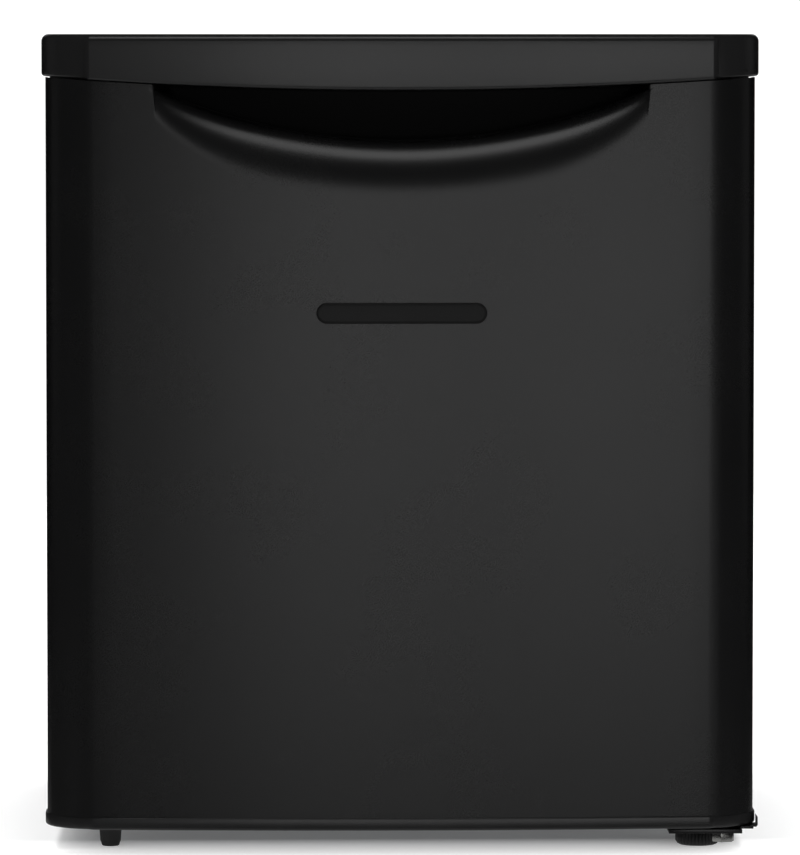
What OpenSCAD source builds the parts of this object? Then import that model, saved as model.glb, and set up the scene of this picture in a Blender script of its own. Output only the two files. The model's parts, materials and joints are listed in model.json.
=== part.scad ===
/* [Overall] */
// Width over the worktop
overall_w = 449; // [440:1:460]
// Depth from the front edge of the worktop to the wall spacers
overall_d = 472; // [460:1:500]
// Height from the floor to the worktop
overall_h = 515; // [510:1:530]

/* [Front shape] */
// Radius of the gentle bow across the front, seen from above
bow_r = 2200; // [1500:50:4000]
// Radius of the two upright front corners of the door
corner_r = 32; // [24:1:36]
// Overhang of the worktop past the door
overhang = 2.5; // [2:0.5:4]

/* [Worktop] */
// Height of the worktop's edge at the sides
band_h = 26; // [24:1:28]
// How much lower the edge hangs at the middle of the front
band_drop = 8.6; // [6:0.2:9]
// Thickness of the worktop moulding
worktop_t = 3; // [2.5:0.5:4]

/* [Door] */
// Thickness of the door at its middle
door_t = 55.5; // [50:0.5:60]
// Height of the door's lower edge above the floor
door_z = 19.2; // [19:0.2:22]
// Height of the bottom cap's visible edge
trim_h = 7.8; // [6:0.2:10]
// Gap under the worktop's edge
door_gap = 1.2; // [1:0.1:2]
// Thickness of the door's sheet skin
skin_t = 1; // [0.8:0.1:1.2]
// Compressed thickness of the gasket
gasket_t = 10; // [9:0.5:11]

/* [Grip] */
// Radius of the smile-shaped edge of the grip
smile_r = 390; // [350:5:430]
// Height of that edge's lowest point below the worktop's top
smile_drop = 65.2; // [60:0.2:70]
// Height of the rolled lip in front of the grip
roll_h = 38; // [30:1:42]
// Depth over which the lip rolls inward
roll_d = 18.5; // [14:0.5:20]
// Half-width of the grip
grip_x = 156; // [150:1:160]
// Depth of the grip behind the door's front
grip_d = 40.5; // [36:0.5:42]

/* [Hinge] */
// Distance of the hinge axis from the middle
pin_x = 203; // [201:0.5:205]
// Distance of the hinge axis behind the door's front
pin_d = 33.5; // [32:0.5:35]
// Radius of the hinge pins
pin_r = 4; // [3.5:0.5:4.5]
// Radial clearance of a pin in its bush
pin_gap = 0.08; // [0.05:0.01:0.1]

/* [Inside] */
// Half-width of the cold compartment
cold_x = 181; // [178:1:182]
// Floor of the cold compartment
floor_z = 62; // [60:1:70]
// Ceiling of the cold compartment
ceiling_z = 450; // [446:1:452]
// Depth of insulation behind the cold compartment
back_foam = 36; // [32:1:38]
// Height of the step over the compressor
step_z = 240; // [238:1:242]
// Thickness of the liners
liner_t = 1.8; // [1.5:0.1:2]

/* [Hidden] */
$fn = 48;
fine = 720;
e = 0.5;

// Places from front to back
top_front = -overall_d / 2;
door_front = top_front + overhang;
door_back = door_front + door_t;
cab_front = door_back + gasket_t;
spacer_t = 5;
cab_back = overall_d / 2 - spacer_t;
pin_y = door_front + pin_d;
grip_back = door_front + grip_d;

// Half-widths
top_x = overall_w / 2;
door_x = top_x - overhang;
cab_x = door_x - 2;
sheet_t = 1;

// Heights
band_z = overall_h - band_h;
lip_z = band_z - band_drop;
edge_r = top_x * top_x / (2 * band_drop) + band_drop / 2;
door_top_mid = lip_z - door_gap;
cab_z = 17;
cab_top = overall_h - 16;
pan_t = 1.2;
skin_z = door_z + trim_h;
smile_z = overall_h - smile_drop;
smile_axis = smile_z + smile_r;

// Cold compartment
opening_gap = 2;
liner_back = cab_back - back_foam;
step_y = 66;
bay_y = 108;
bay_z = 201;

// Levelling foot and hinge hardware
level_x = 190;
level_y = cab_front + 18;
level_r = 14;
level_h = 10;
stud_r = 4;
bracket_t = 2.5;
hinge_screws = [[176, cab_front + 42], [204, cab_front + 42], [207, cab_front + 8]];

// Ice box
ice_x0 = -165;
ice_x1 = 95;
ice_y0 = -45;
ice_y1 = 160;
ice_z0 = 335;
ice_z1 = 440;
flap_y = ice_y0 - 8.5;
flap_z = 425;

// Thermostat
stat_x = 142;
stat_y = 20;
stat_z = 407;

// Compressor
comp_x = 30;
comp_y = 170;
comp_r = 55;
seam_z = 95;
grommets = [for (dx = [-65, 65], dy = [-42, 42]) [comp_x + dx, comp_y + dy]];

// ---------- shared shapes ----------

// Plan outline with a bowed front and two rounded front corners, inset all round by d
module bowed_outline(half_w, front, back, d = 0) {
    bow = bow_r - d;
    rc = corner_r - d;
    cx = half_w - corner_r;
    cy = front + bow_r - sqrt(pow(bow_r - corner_r, 2) - pow(cx, 2));
    ux = cx / (bow_r - corner_r);
    uy = (cy - front - bow_r) / (bow_r - corner_r);
    difference() {
        intersection() {
            translate([-half_w + d, front]) square([2 * (half_w - d), back - front]);
            translate([0, front + bow_r]) circle(r = bow, $fn = fine);
        }
        for (s = [-1, 1])
            polygon([
                [s * cx, cy], [s * (cx + 60 * ux), cy + 60 * uy],
                [s * (half_w + 20), cy + 60 * uy], [s * (half_w + 20), cy]
            ]);
    }
    intersection() {
        for (s = [-1, 1]) translate([s * cx, cy]) circle(r = rc, $fn = 96);
        translate([-half_w, front]) square([2 * half_w, cy - front + 0.01]);
    }
}

// Ring between two insets of the outline, closed along the back
module bowed_ring(half_w, front, back, d0, d1) {
    difference() {
        bowed_outline(half_w, front, back, d0);
        bowed_outline(half_w, front, back - (d1 - d0), d1);
    }
}

// The space above the arched lower edge of the worktop, from height z at the middle
module above_arch(z) {
    span = top_x + 6;
    steps = 24;
    deep(top_front - 1, cab_back + 1) polygon(concat(
        [for (i = [0 : steps]) let (x = span * (2 * i / steps - 1))
            [x, z + edge_r - sqrt(edge_r * edge_r - x * x)]],
        [[span, overall_h + 20], [-span, overall_h + 20]]));
}

// Box between two corners
module box(lo, hi) {
    translate(lo) cube(hi - lo);
}

// Profile in the YZ plane, extruded across X
module across(x0, x1) {
    translate([x0, 0, 0]) rotate([90, 0, 90]) linear_extrude(x1 - x0) children();
}

// Outline in the XZ plane, extruded from y0 back to y1
module deep(y0, y1) {
    translate([0, y1, 0]) rotate([90, 0, 0]) linear_extrude(y1 - y0) children();
}

// Round bar or tube run through a list of points
module pipe(points, r) {
    for (i = [0 : len(points) - 2]) {
        v = points[i + 1] - points[i];
        l = norm(v);
        translate(points[i]) rotate([0, acos(v[2] / l), atan2(v[1], v[0])]) cylinder(r = r, h = l, $fn = 20);
        if (i > 0) translate(points[i]) sphere(r = r, $fn = 20);
    }
}

// Rolled lip profile: quarter ellipse in (radius, depth) that starts just before the front, inset by d
roll_start = 3;
function roll_curve(d) = [for (a = [0 : 15 : 90])
    [smile_r + roll_h - (roll_h - d) * sin(a),
        door_front + roll_d - (roll_d + roll_start - d) * cos(a)]];

// Turns a (radius, depth) profile about the smile's own axis
module smile_turn() {
    translate([0, 0, smile_axis]) rotate([-90, 0, 0]) rotate_extrude($fn = fine) children();
}

// Everything in front of and above the rolled lip, and the hollow behind it, grown by d
module grip_space(d = 0) {
    intersection() {
        smile_turn() polygon(concat(
            [[0, door_front - 20], [smile_r + roll_h, door_front - 20]], roll_curve(d),
            [[smile_r + d, grip_back + d], [0, grip_back + d]]));
        box([-grip_x - d, door_front - 15, smile_z - roll_h - 5], [grip_x + d, grip_back + d, overall_h]);
    }
}

module tray(lo, hi, t) {
    difference() {
        box(lo, hi);
        box(lo + [t, t, t], [hi[0] - t, hi[1] - t, hi[2] + e]);
    }
}

// ---------- cabinet ----------

module cabinet_shell() {
    color([0.03, 0.03, 0.03]) {
        for (s = [0, 1]) mirror([s, 0, 0])
            box([cab_x - sheet_t, cab_front, cab_z + pan_t], [cab_x, cab_back, cab_top]);
        box([-cab_x, cab_front, cab_top - sheet_t], [cab_x, cab_back, cab_top]);
        difference() {
            box([-cab_x, cab_front, cab_z + pan_t], [cab_x, cab_front + sheet_t, cab_top]);
            box([-cold_x - opening_gap, cab_front - e, floor_z - opening_gap],
                [cold_x + opening_gap, cab_front + sheet_t + e, ceiling_z + opening_gap]);
        }
    }
}

module base_pan() {
    color([0.05, 0.05, 0.05]) difference() {
        box([-cab_x, cab_front, cab_z], [cab_x, cab_back, cab_z + pan_t]);
        translate([level_x, level_y, cab_z - e]) cylinder(r = stud_r + 0.5, h = pan_t + 2 * e);
        for (p = hinge_screws) translate([p[0], p[1], cab_z - e]) cylinder(r = 2.6, h = pan_t + 2 * e);
    }
}

module bay_shield() {
    color([0.6, 0.6, 0.6]) difference() {
        across(-cab_x + sheet_t, cab_x - sheet_t) polygon([
            [bay_y, cab_z + pan_t], [bay_y + 1, cab_z + pan_t], [bay_y + 1, bay_z - 1],
            [cab_back, bay_z - 1], [cab_back, bay_z], [bay_y, bay_z]
        ]);
        translate([-coil_x, bay_y - e, coil_z]) rotate([-90, 0, 0]) cylinder(r = 2.9, h = 3);
        translate([-coil_x, coil_back, bay_z - 2]) cylinder(r = 2.9, h = 3);
        translate([suction_x, suction_y, bay_z - 2]) cylinder(r = 3.6, h = 3);
    }
}

module back_panel() {
    color([0.08, 0.08, 0.08]) difference() {
        box([-cab_x + sheet_t, cab_back - 1, bay_z], [cab_x - sheet_t, cab_back, cab_top - sheet_t]);
        back_screw_places() cylinder(r = 2.1, h = 20, center = true);
    }
}

module back_screw_places() {
    for (x = [-205, 205], z = [bay_z + 14, (bay_z + cab_top) / 2, cab_top - 24])
        translate([x, cab_back, z]) rotate([-90, 0, 0]) children();
}

module back_panel_screws() {
    color("silver") back_screw_places() {
        cylinder(r = 4, h = 2);
        translate([0, 0, -6]) cylinder(r = 2, h = 6);
    }
}

gland_x = -150;
gland_z = 33;

module rear_cross_bar() {
    color([0.05, 0.05, 0.05]) difference() {
        box([-cab_x + sheet_t, cab_back - 1.5, cab_z + pan_t], [cab_x - sheet_t, cab_back, 50]);
        translate([gland_x, cab_back - 5, gland_z]) rotate([-90, 0, 0]) cylinder(r = 7.2, h = 10);
    }
}

module cord_gland() {
    color("black") translate([gland_x, cab_back, gland_z]) rotate([-90, 0, 0]) difference() {
        union() {
            translate([0, 0, -10]) cylinder(r = 7, h = 10);
            cylinder(r = 10, h = 3);
            translate([0, 0, -4]) cylinder(r = 10, h = 2.3);
        }
        translate([0, 0, -11]) cylinder(r = 3.6, h = 20);
    }
}

// Profile of the cold compartment's step, grown by d
module cold_profile(d, front) {
    polygon([
        [front, floor_z - d], [step_y + d, floor_z - d], [step_y + d, step_z - d],
        [liner_back + d, step_z - d], [liner_back + d, ceiling_z + d], [front, ceiling_z + d]
    ]);
}

ledge_w = 7;

module inner_liner() {
    color("white") {
        difference() {
            across(-cold_x - liner_t, cold_x + liner_t) cold_profile(liner_t, cab_front);
            across(-cold_x, cold_x) cold_profile(0, cab_front - e);
            translate([suction_x, liner_back - e, 380]) rotate([-90, 0, 0]) cylinder(r = 3.4, h = 3);
        }
        for (s = [0, 1]) mirror([s, 0, 0])
            box([cold_x - ledge_w, cab_front + 60, step_z - 6], [cold_x, step_y, step_z]);
    }
}

coil_x = cab_x - sheet_t - 3;
coil_r = 2.4;

module insulation_foam() {
    gap = 0.2;
    color("khaki") difference() {
        box([-cab_x + sheet_t + gap, cab_front + sheet_t + gap, cab_z + pan_t + gap],
            [cab_x - sheet_t - gap, cab_back - 1 - gap, cab_top - sheet_t - gap]);
        across(-cold_x - liner_t - gap, cold_x + liner_t + gap) cold_profile(liner_t + gap, cab_front);
        box([-cab_x, bay_y - gap, cab_z], [cab_x, cab_back + e, bay_z + gap]);
        box([-cab_x, coil_y0 - 6, coil_z - 6], [-coil_x + 3.5, bay_y + e, coil_top + 6]);
        box([-cab_x, coil_y1 - 6, bay_z - e], [-coil_x + 3.5, coil_back + 6, coil_top + 6]);
        back_screw_places() cylinder(r = 2.6, h = 20, center = true);
        translate([level_x, level_y, cab_z]) cylinder(r = 9, h = 30);
        for (p = hinge_screws) translate([p[0], p[1], cab_z]) cylinder(r = 3, h = 16);
        for (p = top_screws) translate([p[0], p[1], cab_top - 20]) cylinder(r = 3, h = 30);
        box([suction_x - 5, liner_back, bay_z - e], [suction_x + 5, suction_y + 5, 386]);
    }
}

module worktop() {
    color([0.06, 0.06, 0.06]) difference() {
        union() {
            translate([0, 0, overall_h - 3.5]) linear_extrude(3.5)
                bowed_outline(top_x, top_front, cab_back);
            translate([0, 0, band_z]) linear_extrude(band_h - 3)
                bowed_ring(top_x, top_front, cab_back, 0, worktop_t);
            intersection() {
                translate([0, 0, lip_z]) linear_extrude(band_drop + 1)
                    bowed_ring(top_x, top_front, cab_back, 0, worktop_t);
                above_arch(lip_z);
                box([-top_x, top_front, 0], [top_x, cab_front - 20, overall_h]);
            }
            for (x = [-150, -50, 50, 150])
                box([x - 1, cab_front + 45, cab_top], [x + 1, cab_back - 1, overall_h - 3]);
            for (y = [cab_front + 45, 60, 200])
                box([-top_x + 2, y - 1, cab_top], [top_x - 2, y + 1, overall_h - 3]);
        }
        box([-cab_x - 0.3, cab_front, 0], [cab_x + 0.3, cab_back + e, cab_top + 0.05]);
        worktop_screw_places() cylinder(r = 2.2, h = 20, center = true);
    }
}

// Flat panel that closes the underside of the worktop's overhang
module overhang_panel() {
    color([0.05, 0.05, 0.05]) translate([0, 0, band_z]) linear_extrude(2) intersection() {
        bowed_outline(top_x, top_front, cab_front, worktop_t + 0.1);
        translate([-170, top_front]) square([340, cab_front - top_front]);
    }
}

module worktop_screw_places() {
    for (x = [-120, 120]) translate([x, cab_back, cab_top + 6]) rotate([-90, 0, 0]) children();
}

module worktop_screws() {
    color("dimgray") worktop_screw_places() {
        cylinder(r = 4, h = 2.4);
        translate([0, 0, -8]) cylinder(r = 2, h = 8);
    }
}

// ---------- hinges and feet ----------

top_leg_z = band_z + 1;
top_screws = [[186, cab_front + 18], [208, cab_front + 18]];

module upper_hinge_bracket() {
    y0 = pin_y - 13;
    color([0.1, 0.1, 0.1]) difference() {
        across(178, 216) polygon([
            [y0, top_leg_z], [cab_front, top_leg_z], [cab_front, cab_top],
            [cab_front + 34, cab_top], [cab_front + 34, cab_top + bracket_t],
            [cab_front - bracket_t, cab_top + bracket_t], [cab_front - bracket_t, top_leg_z + bracket_t],
            [y0, top_leg_z + bracket_t]
        ]);
        translate([pin_x, pin_y, top_leg_z - e]) cylinder(r = pin_r + 0.1, h = 5);
        for (p = top_screws) translate([p[0], p[1], cab_top - e]) cylinder(r = 2.6, h = 5);
    }
}

module upper_hinge_pin() {
    color("silver") translate([pin_x, pin_y, 0]) {
        translate([0, 0, 466]) cylinder(r = pin_r, h = top_leg_z + bracket_t - 466);
        translate([0, 0, top_leg_z + bracket_t]) cylinder(r = 6.5, h = 2.5);
    }
}

module upper_hinge_screws() {
    color("silver") for (p = top_screws) translate([p[0], p[1], 0]) {
        translate([0, 0, cab_top + bracket_t]) cylinder(r = 5, h = 3);
        translate([0, 0, cab_top + 0.05]) cylinder(r = 2.4, h = bracket_t);
    }
}

stop_tab_x = 178;

module lower_hinge_bracket() {
    color([0.08, 0.08, 0.08]) difference() {
        union() {
            box([168, pin_y - 14, cab_z - bracket_t], [214, cab_front + 50, cab_z]);
            box([stop_tab_x, pin_y - 10, cab_z], [stop_tab_x + 5, pin_y - 4.2, cab_z + 1.8]);
        }
        translate([pin_x, pin_y, cab_z - 5]) cylinder(r = pin_r + 0.1, h = 10);
        translate([level_x, level_y, cab_z - 5]) cylinder(r = stud_r + 0.5, h = 10);
        for (p = hinge_screws) translate([p[0], p[1], cab_z - 5]) cylinder(r = 2.6, h = 10);
    }
}

module lower_hinge_pin() {
    head = 6.5;
    color("silver") translate([pin_x, pin_y, cab_z - bracket_t]) {
        translate([0, 0, -head]) rotate(15) cylinder(r = 12.5 / sqrt(3), h = head, $fn = 6);
        cylinder(r = pin_r, h = 25.5);
    }
}

module lower_hinge_washer() {
    color("ivory") translate([pin_x, pin_y, cab_z]) difference() {
        cylinder(r = 8, h = 1.9);
        translate([0, 0, -e]) cylinder(r = pin_r + 0.1, h = 3);
    }
}

module lower_hinge_screws() {
    color("dimgray") for (p = hinge_screws) translate([p[0], p[1], cab_z - bracket_t]) {
        translate([0, 0, -2.4]) cylinder(r = 5, h = 2.4);
        cylinder(r = 2.4, h = 15);
    }
}

module front_left_foot() {
    color("black") translate([-183.5, level_y, 0]) {
        translate([0, 0, 2]) cylinder(r1 = 6.6, r2 = 7.5, h = 13);
        translate([0, 0, 15]) cylinder(r = 9, h = 2);
        cylinder(r = 5.5, h = 2);
    }
}

module rear_feet() {
    color("black") for (s = [-1, 1]) translate([s * 183.5, 205, 0]) {
        translate([0, 0, 2]) cylinder(r1 = 7.6, r2 = 8.5, h = 13);
        translate([0, 0, 15]) cylinder(r = 10, h = 2);
        cylinder(r = 6.5, h = 2);
    }
}

module wall_spacers() {
    color("black") for (s = [-1, 1]) translate([s * 150, cab_back, cab_top - 40]) rotate([-90, 0, 0]) {
        cylinder(r = 12, h = 2);
        cylinder(r = 9, h = spacer_t);
    }
}

module leveller_nut() {
    color("silver") translate([level_x, level_y, cab_z + pan_t]) difference() {
        cylinder(r = 7.5, h = 6.5, $fn = 6);
        translate([0, 0, -e]) cylinder(r = stud_r + 0.08, h = 10);
    }
}

module leveller_stud() {
    color("silver") translate([level_x, level_y, 3.3]) cylinder(r = stud_r, h = 36);
}

module leveller_foot() {
    color("black") translate([level_x, level_y, 0]) difference() {
        union() {
            cylinder(r1 = level_r - 3, r2 = level_r - 0.6, h = 2);
            translate([0, 0, 2]) cylinder(r = level_r, h = level_h - 2);
        }
        translate([0, 0, 3]) cylinder(r = stud_r + 0.08, h = level_h);
    }
}

// ---------- cooling system ----------

module compressor_lower_shell() {
    color([0.03, 0.03, 0.03]) translate([comp_x, comp_y, 0]) rotate_extrude() difference() {
        union() {
            translate([0, 49]) square([comp_r - 2, seam_z - 49]);
            translate([0, 40]) square([comp_r - 17, 10]);
            translate([comp_r - 17, 55]) circle(r = 15);
            translate([0, seam_z - 4]) square([comp_r, 4]);
        }
        translate([0, 43]) square([comp_r - 19, seam_z]);
        translate([0, 56]) square([comp_r - 5, seam_z]);
        translate([-30, 0]) square([30, 200]);
    }
}

module compressor_upper_shell() {
    color([0.03, 0.03, 0.03]) translate([comp_x, comp_y, 0]) rotate_extrude() difference() {
        union() {
            translate([0, seam_z]) square([comp_r - 2, 35]);
            translate([0, seam_z]) square([comp_r, 4]);
            translate([0, seam_z + 35]) square([comp_r - 32, 30]);
            translate([comp_r - 32, seam_z + 35]) circle(r = 30);
        }
        translate([0, seam_z - e]) square([comp_r - 5, 30]);
        translate([0, seam_z]) square([comp_r - 32, 60]);
        translate([-30, 0]) square([30, 200]);
        translate([0, seam_z - 40]) square([comp_r + 5, 40]);
    }
}

module pump_motor() {
    color("peru") translate([comp_x, comp_y, 46]) {
        cylinder(r = comp_r - 20, h = 10);
        translate([0, 0, 10]) cylinder(r = comp_r - 9, h = 60);
        translate([0, 0, 70]) cylinder(r = comp_r - 34, h = 20);
    }
}

module compressor_plate() {
    color([0.2, 0.2, 0.2]) difference() {
        box([comp_x - 75, comp_y - 50, 29], [comp_x + 75, comp_y + 50, 32]);
        for (p = grommets) translate([p[0], p[1], 25]) cylinder(r = 4, h = 10);
    }
    color([0.2, 0.2, 0.2]) translate([comp_x, comp_y, 32]) cylinder(r = 30, h = 8);
}

module compressor_grommets() {
    color("black") for (p = grommets) translate([p[0], p[1], cab_z + pan_t]) difference() {
        cylinder(r = 9, h = 29 - cab_z - pan_t);
        translate([0, 0, -e]) cylinder(r = 3.3, h = 20);
    }
}

module compressor_bolts() {
    color("silver") for (p = grommets) translate([p[0], p[1], cab_z + pan_t]) {
        cylinder(r = 3, h = 32 - cab_z - pan_t);
        translate([0, 0, 32 - cab_z - pan_t]) cylinder(r = 6, h = 4, $fn = 6);
    }
}

module relay_cover() {
    x0 = comp_x + comp_r + 1;
    color([0.05, 0.05, 0.05]) box([x0, comp_y - 24, 68], [x0 + 29, comp_y + 24, 124]);
}

// Serpentine in the left side wall, from the compressor bay up and back down to it
coil_rows = 8;
coil_z = 82;
coil_step = 44;
coil_top = coil_z + (coil_rows - 1) * coil_step;
coil_y0 = cab_front + 34;
coil_y1 = bay_y - 16;
coil_back = 150;

module condenser_coil() {
    rows = [for (i = [0 : coil_rows - 1]) each [
        [-coil_x, i == 0 ? bay_y + 4 : i % 2 == 0 ? coil_y1 : coil_y0, coil_z + i * coil_step],
        [-coil_x, i == coil_rows - 1 ? coil_back : i % 2 == 0 ? coil_y0 : coil_y1, coil_z + i * coil_step]]];
    color("black") pipe(concat(rows, [[-coil_x, coil_back, bay_z - 5]]), coil_r);
}

module discharge_line() {
    color("peru") pipe([
        [comp_x - comp_r + 1, comp_y + 5, 82], [comp_x - comp_r - 30, comp_y + 5, 82],
        [comp_x - comp_r - 30, comp_y + 5, 58], [-coil_x, comp_y + 5, 58],
        [-coil_x, comp_y + 5, coil_z], [-coil_x, bay_y + 4.2, coil_z]], 2.4);
}

drier_x = -130;

module filter_drier() {
    color("peru") {
        translate([drier_x, coil_back, 0]) {
            translate([0, 0, 95]) cylinder(r = 9, h = 65);
            translate([0, 0, 82]) cylinder(r1 = 2, r2 = 9, h = 13);
            translate([0, 0, 160]) cylinder(r1 = 9, r2 = 2.4, h = 13);
        }
        pipe([[drier_x, coil_back, 172], [drier_x, coil_back, 188],
            [-coil_x, coil_back, 188], [-coil_x, coil_back, bay_z - 5.2]], 2.4);
        pipe([[drier_x, coil_back, 83], [drier_x, coil_back, 75], [drier_x, bay_y + 1.2, 75]], 1.2);
    }
}

suction_x = 90;
suction_y = liner_back + 10;

module suction_line() {
    color("peru") pipe([
        [suction_x, ice_y1 + 0.2, 380], [suction_x, suction_y, 380], [suction_x, suction_y, 120],
        [comp_x + comp_r * 0.86, comp_y + comp_r * 0.5, 120]], 3);
}

// ---------- ice box ----------

module evaporator() {
    t = 1.5;
    color("silver") {
        difference() {
            box([ice_x0, ice_y0, ice_z0], [ice_x1, ice_y1, ice_z1]);
            box([ice_x0 + t, ice_y0 - e, ice_z0 + t], [ice_x1 - t, ice_y1 - t, ice_z1 - t]);
        }
        for (x = [ice_x0 + 20, ice_x1 - 20], y = [ice_y0 + 30, ice_y1 - 30])
            translate([x, y, ice_z1]) cylinder(r = 6, h = ceiling_z - ice_z1);
    }
}

module ice_box_frame() {
    color("white") difference() {
        box([ice_x0 - 4, ice_y0 - 13, ice_z0 - 5], [ice_x1 + 4, ice_y0, ice_z1 + 6]);
        box([ice_x0 + 3, ice_y0 - 20, ice_z0 + 3], [ice_x1 - 3, ice_y0 + e, ice_z1 - 8]);
        translate([ice_x0 - 2, flap_y, flap_z]) rotate([0, 90, 0])
            cylinder(r = 2.08, h = ice_x1 - ice_x0 + 4);
    }
}

module freezer_flap() {
    x0 = ice_x0 + 3.6;
    x1 = ice_x1 - 3.6;
    color([0.8, 0.9, 0.95]) {
        box([x0, flap_y - 1.5, ice_z0 + 4.5], [x1, flap_y + 1.5, flap_z + 3.5]);
        translate([x0 - 4.6, flap_y, flap_z]) rotate([0, 90, 0]) cylinder(r = 2, h = x1 - x0 + 9.2);
        box([(x0 + x1) / 2 - 30, flap_y - 7, ice_z0 + 8], [(x0 + x1) / 2 + 30, flap_y - 1, ice_z0 + 11]);
    }
}

rail_z = 299;

module tray_rails() {
    t = 2;
    color("white") for (x = [ice_x0 - 4, ice_x1 + 4]) {
        d = x < 0 ? 1 : -1;
        xs = x + d * t;
        box([min(x, xs), ice_y0, rail_z], [max(x, xs), 150, ice_z0]);
        box([min(xs, xs + d * 7), ice_y0, rail_z], [max(xs, xs + d * 7), 150, rail_z + t]);
        box([min(xs, xs + d * 20), ice_y0, ice_z0 - t], [max(xs, xs + d * 20), 150, ice_z0]);
    }
}

module drip_tray() {
    x0 = ice_x0 - 1.6;
    x1 = ice_x1 + 1.6;
    z0 = rail_z + 2.3;
    color([0.75, 0.85, 0.92]) {
        tray([x0, ice_y0 - 2, z0], [x1, 150, z0 + 24], 2);
        box([x0 - 2, ice_y0 - 6, z0], [x1 + 2, ice_y0 - 2, z0 + 27]);
        box([(x0 + x1) / 2 - 35, ice_y0 - 13, z0 + 6], [(x0 + x1) / 2 + 35, ice_y0 - 5, z0 + 9]);
    }
}

module wire_shelf() {
    x = cold_x - 5;
    y0 = cab_front + 70;
    y1 = liner_back - 12;
    z = step_z + 3.3;
    color("white") {
        pipe([[-x + 3, y0, z], [x - 3, y0, z]], 3);
        pipe([[-x + 3, y1, z], [x - 3, y1, z]], 3);
        for (s = [-1, 1]) {
            pipe([[s * (x - 3), y0, z], [s * (x - 3), y1, z]], 3);
            for (y = [y0, y1]) translate([s * (x - 3), y, z]) sphere(r = 3, $fn = 20);
        }
        for (i = [-8 : 8]) pipe([[i * 20, y0, z + 3], [i * 20, y1, z + 3]], 1.6);
        for (y = [y0 + 95, y0 + 190]) pipe([[-x + 3, y, z - 0.5], [x - 3, y, z - 0.5]], 2.2);
    }
}

// ---------- thermostat ----------

module thermostat_housing() {
    x0 = 108;
    x1 = cold_x - 3;
    color("white") difference() {
        box([x0, stat_y, 374], [x1, 110, 442]);
        box([x0 + 2, stat_y + 2, 376], [x1 - 2, 108, 440]);
        translate([stat_x, stat_y - e, stat_z]) rotate([-90, 0, 0]) cylinder(r = 4.5, h = 5);
        box([x0 - e, 96, 385], [x0 + 3, 104, 393]);
    }
    color("white") box([x1, 40, 400], [cold_x, 90, 420]);
}

module thermostat_body() {
    color("goldenrod") difference() {
        box([stat_x - 20, stat_y + 16, stat_z - 20], [stat_x + 20, stat_y + 60, stat_z + 20]);
        translate([stat_x, stat_y + 15, stat_z]) rotate([-90, 0, 0]) cylinder(r = 3.06, h = 20);
    }
}

module thermostat_knob() {
    color("whitesmoke") translate([stat_x, 0, stat_z]) rotate([-90, 0, 0]) {
        translate([0, 0, stat_y - 16]) cylinder(r = 17, h = 13);
        translate([0, 0, stat_y - 5]) cylinder(r = 20, h = 3.5);
        translate([0, 0, stat_y - 3]) cylinder(r = 3, h = 33);
    }
}

module sensing_bulb() {
    color("peru") {
        translate([ice_x1 + 3.5, 0, 362]) rotate([-90, 0, 0]) cylinder(r = 3, h = 90);
        pipe([[ice_x1 + 3.5, 88, 362], [ice_x1 + 3.5, 100, 362],
            [ice_x1 + 8, 100, 389], [121, 100, 389]], 1);
    }
}

// ---------- door ----------

module door_skin() {
    color([0.04, 0.04, 0.04]) difference() {
        translate([0, 0, skin_z]) linear_extrude(band_z - skin_z)
            bowed_outline(door_x, door_front, door_back);
        above_arch(door_top_mid);
        grip_space();
        difference() {
            translate([0, 0, skin_z - e]) linear_extrude(band_z - skin_z + 2 * e)
                bowed_outline(door_x, door_front, door_back + e, skin_t);
            grip_space(skin_t);
        }
    }
}

module door_top_cap() {
    lo = liner_z1 + 0.5;
    color([0.03, 0.03, 0.03]) difference() {
        union() {
            difference() {
                translate([0, 0, lo]) linear_extrude(30)
                    bowed_outline(door_x, door_front, door_back, skin_t);
                difference() {
                    translate([0, 0, lo - e]) linear_extrude(30)
                        bowed_outline(door_x, door_front, door_back - 2, skin_t + 2);
                    above_arch(door_top_mid - 3);
                }
            }
            translate([pin_x, pin_y, 460]) cylinder(r = 10, h = 26);
        }
        above_arch(door_top_mid);
        grip_space(skin_t + 0.1);
        translate([pin_x, pin_y, 462]) cylinder(r = 7.05, h = 40);
    }
}

module door_bottom_cap() {
    proud = 1.3;
    color([0.04, 0.04, 0.04]) difference() {
        union() {
            translate([0, 0, door_z]) linear_extrude(2.5)
                bowed_outline(door_x + proud, door_front - proud, door_back);
            translate([0, 0, door_z]) linear_extrude(trim_h)
                bowed_ring(door_x + proud, door_front - proud, door_back, 0, 5);
            translate([0, 0, door_z]) linear_extrude(trim_h + 13)
                bowed_ring(door_x, door_front, door_back, skin_t, skin_t + 2);
            translate([pin_x, pin_y, door_z]) cylinder(r = 10, h = 26);
        }
        translate([pin_x, pin_y, door_z - e]) cylinder(r = 7.05, h = 40);
        cap_screw_places() cylinder(r = 1.8, h = 20, center = true);
    }
}

module cap_screw_places() {
    for (x = [-120, 120]) translate([x, door_front + 30, door_z]) children();
}

module cap_screws() {
    color("dimgray") cap_screw_places() {
        translate([0, 0, -1.6]) cylinder(r = 4, h = 1.6);
        cylinder(r = 1.7, h = 10);
    }
}

module door_foam() {
    gap = 0.3;
    color("khaki") difference() {
        translate([0, 0, door_z + 27]) linear_extrude(468 - door_z - 27)
            bowed_outline(door_x, door_front, door_back - liner_t - gap, skin_t + gap);
        grip_space(3);
        translate([pin_x, pin_y, 455]) cylinder(r = 10.5, h = 30);
    }
}

dyke_x = 172;
dyke_z0 = 72;
dyke_z1 = 440;
dyke_w = 22;
dyke_y = door_back + 26;
liner_z0 = 41;
liner_z1 = 470;

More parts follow.
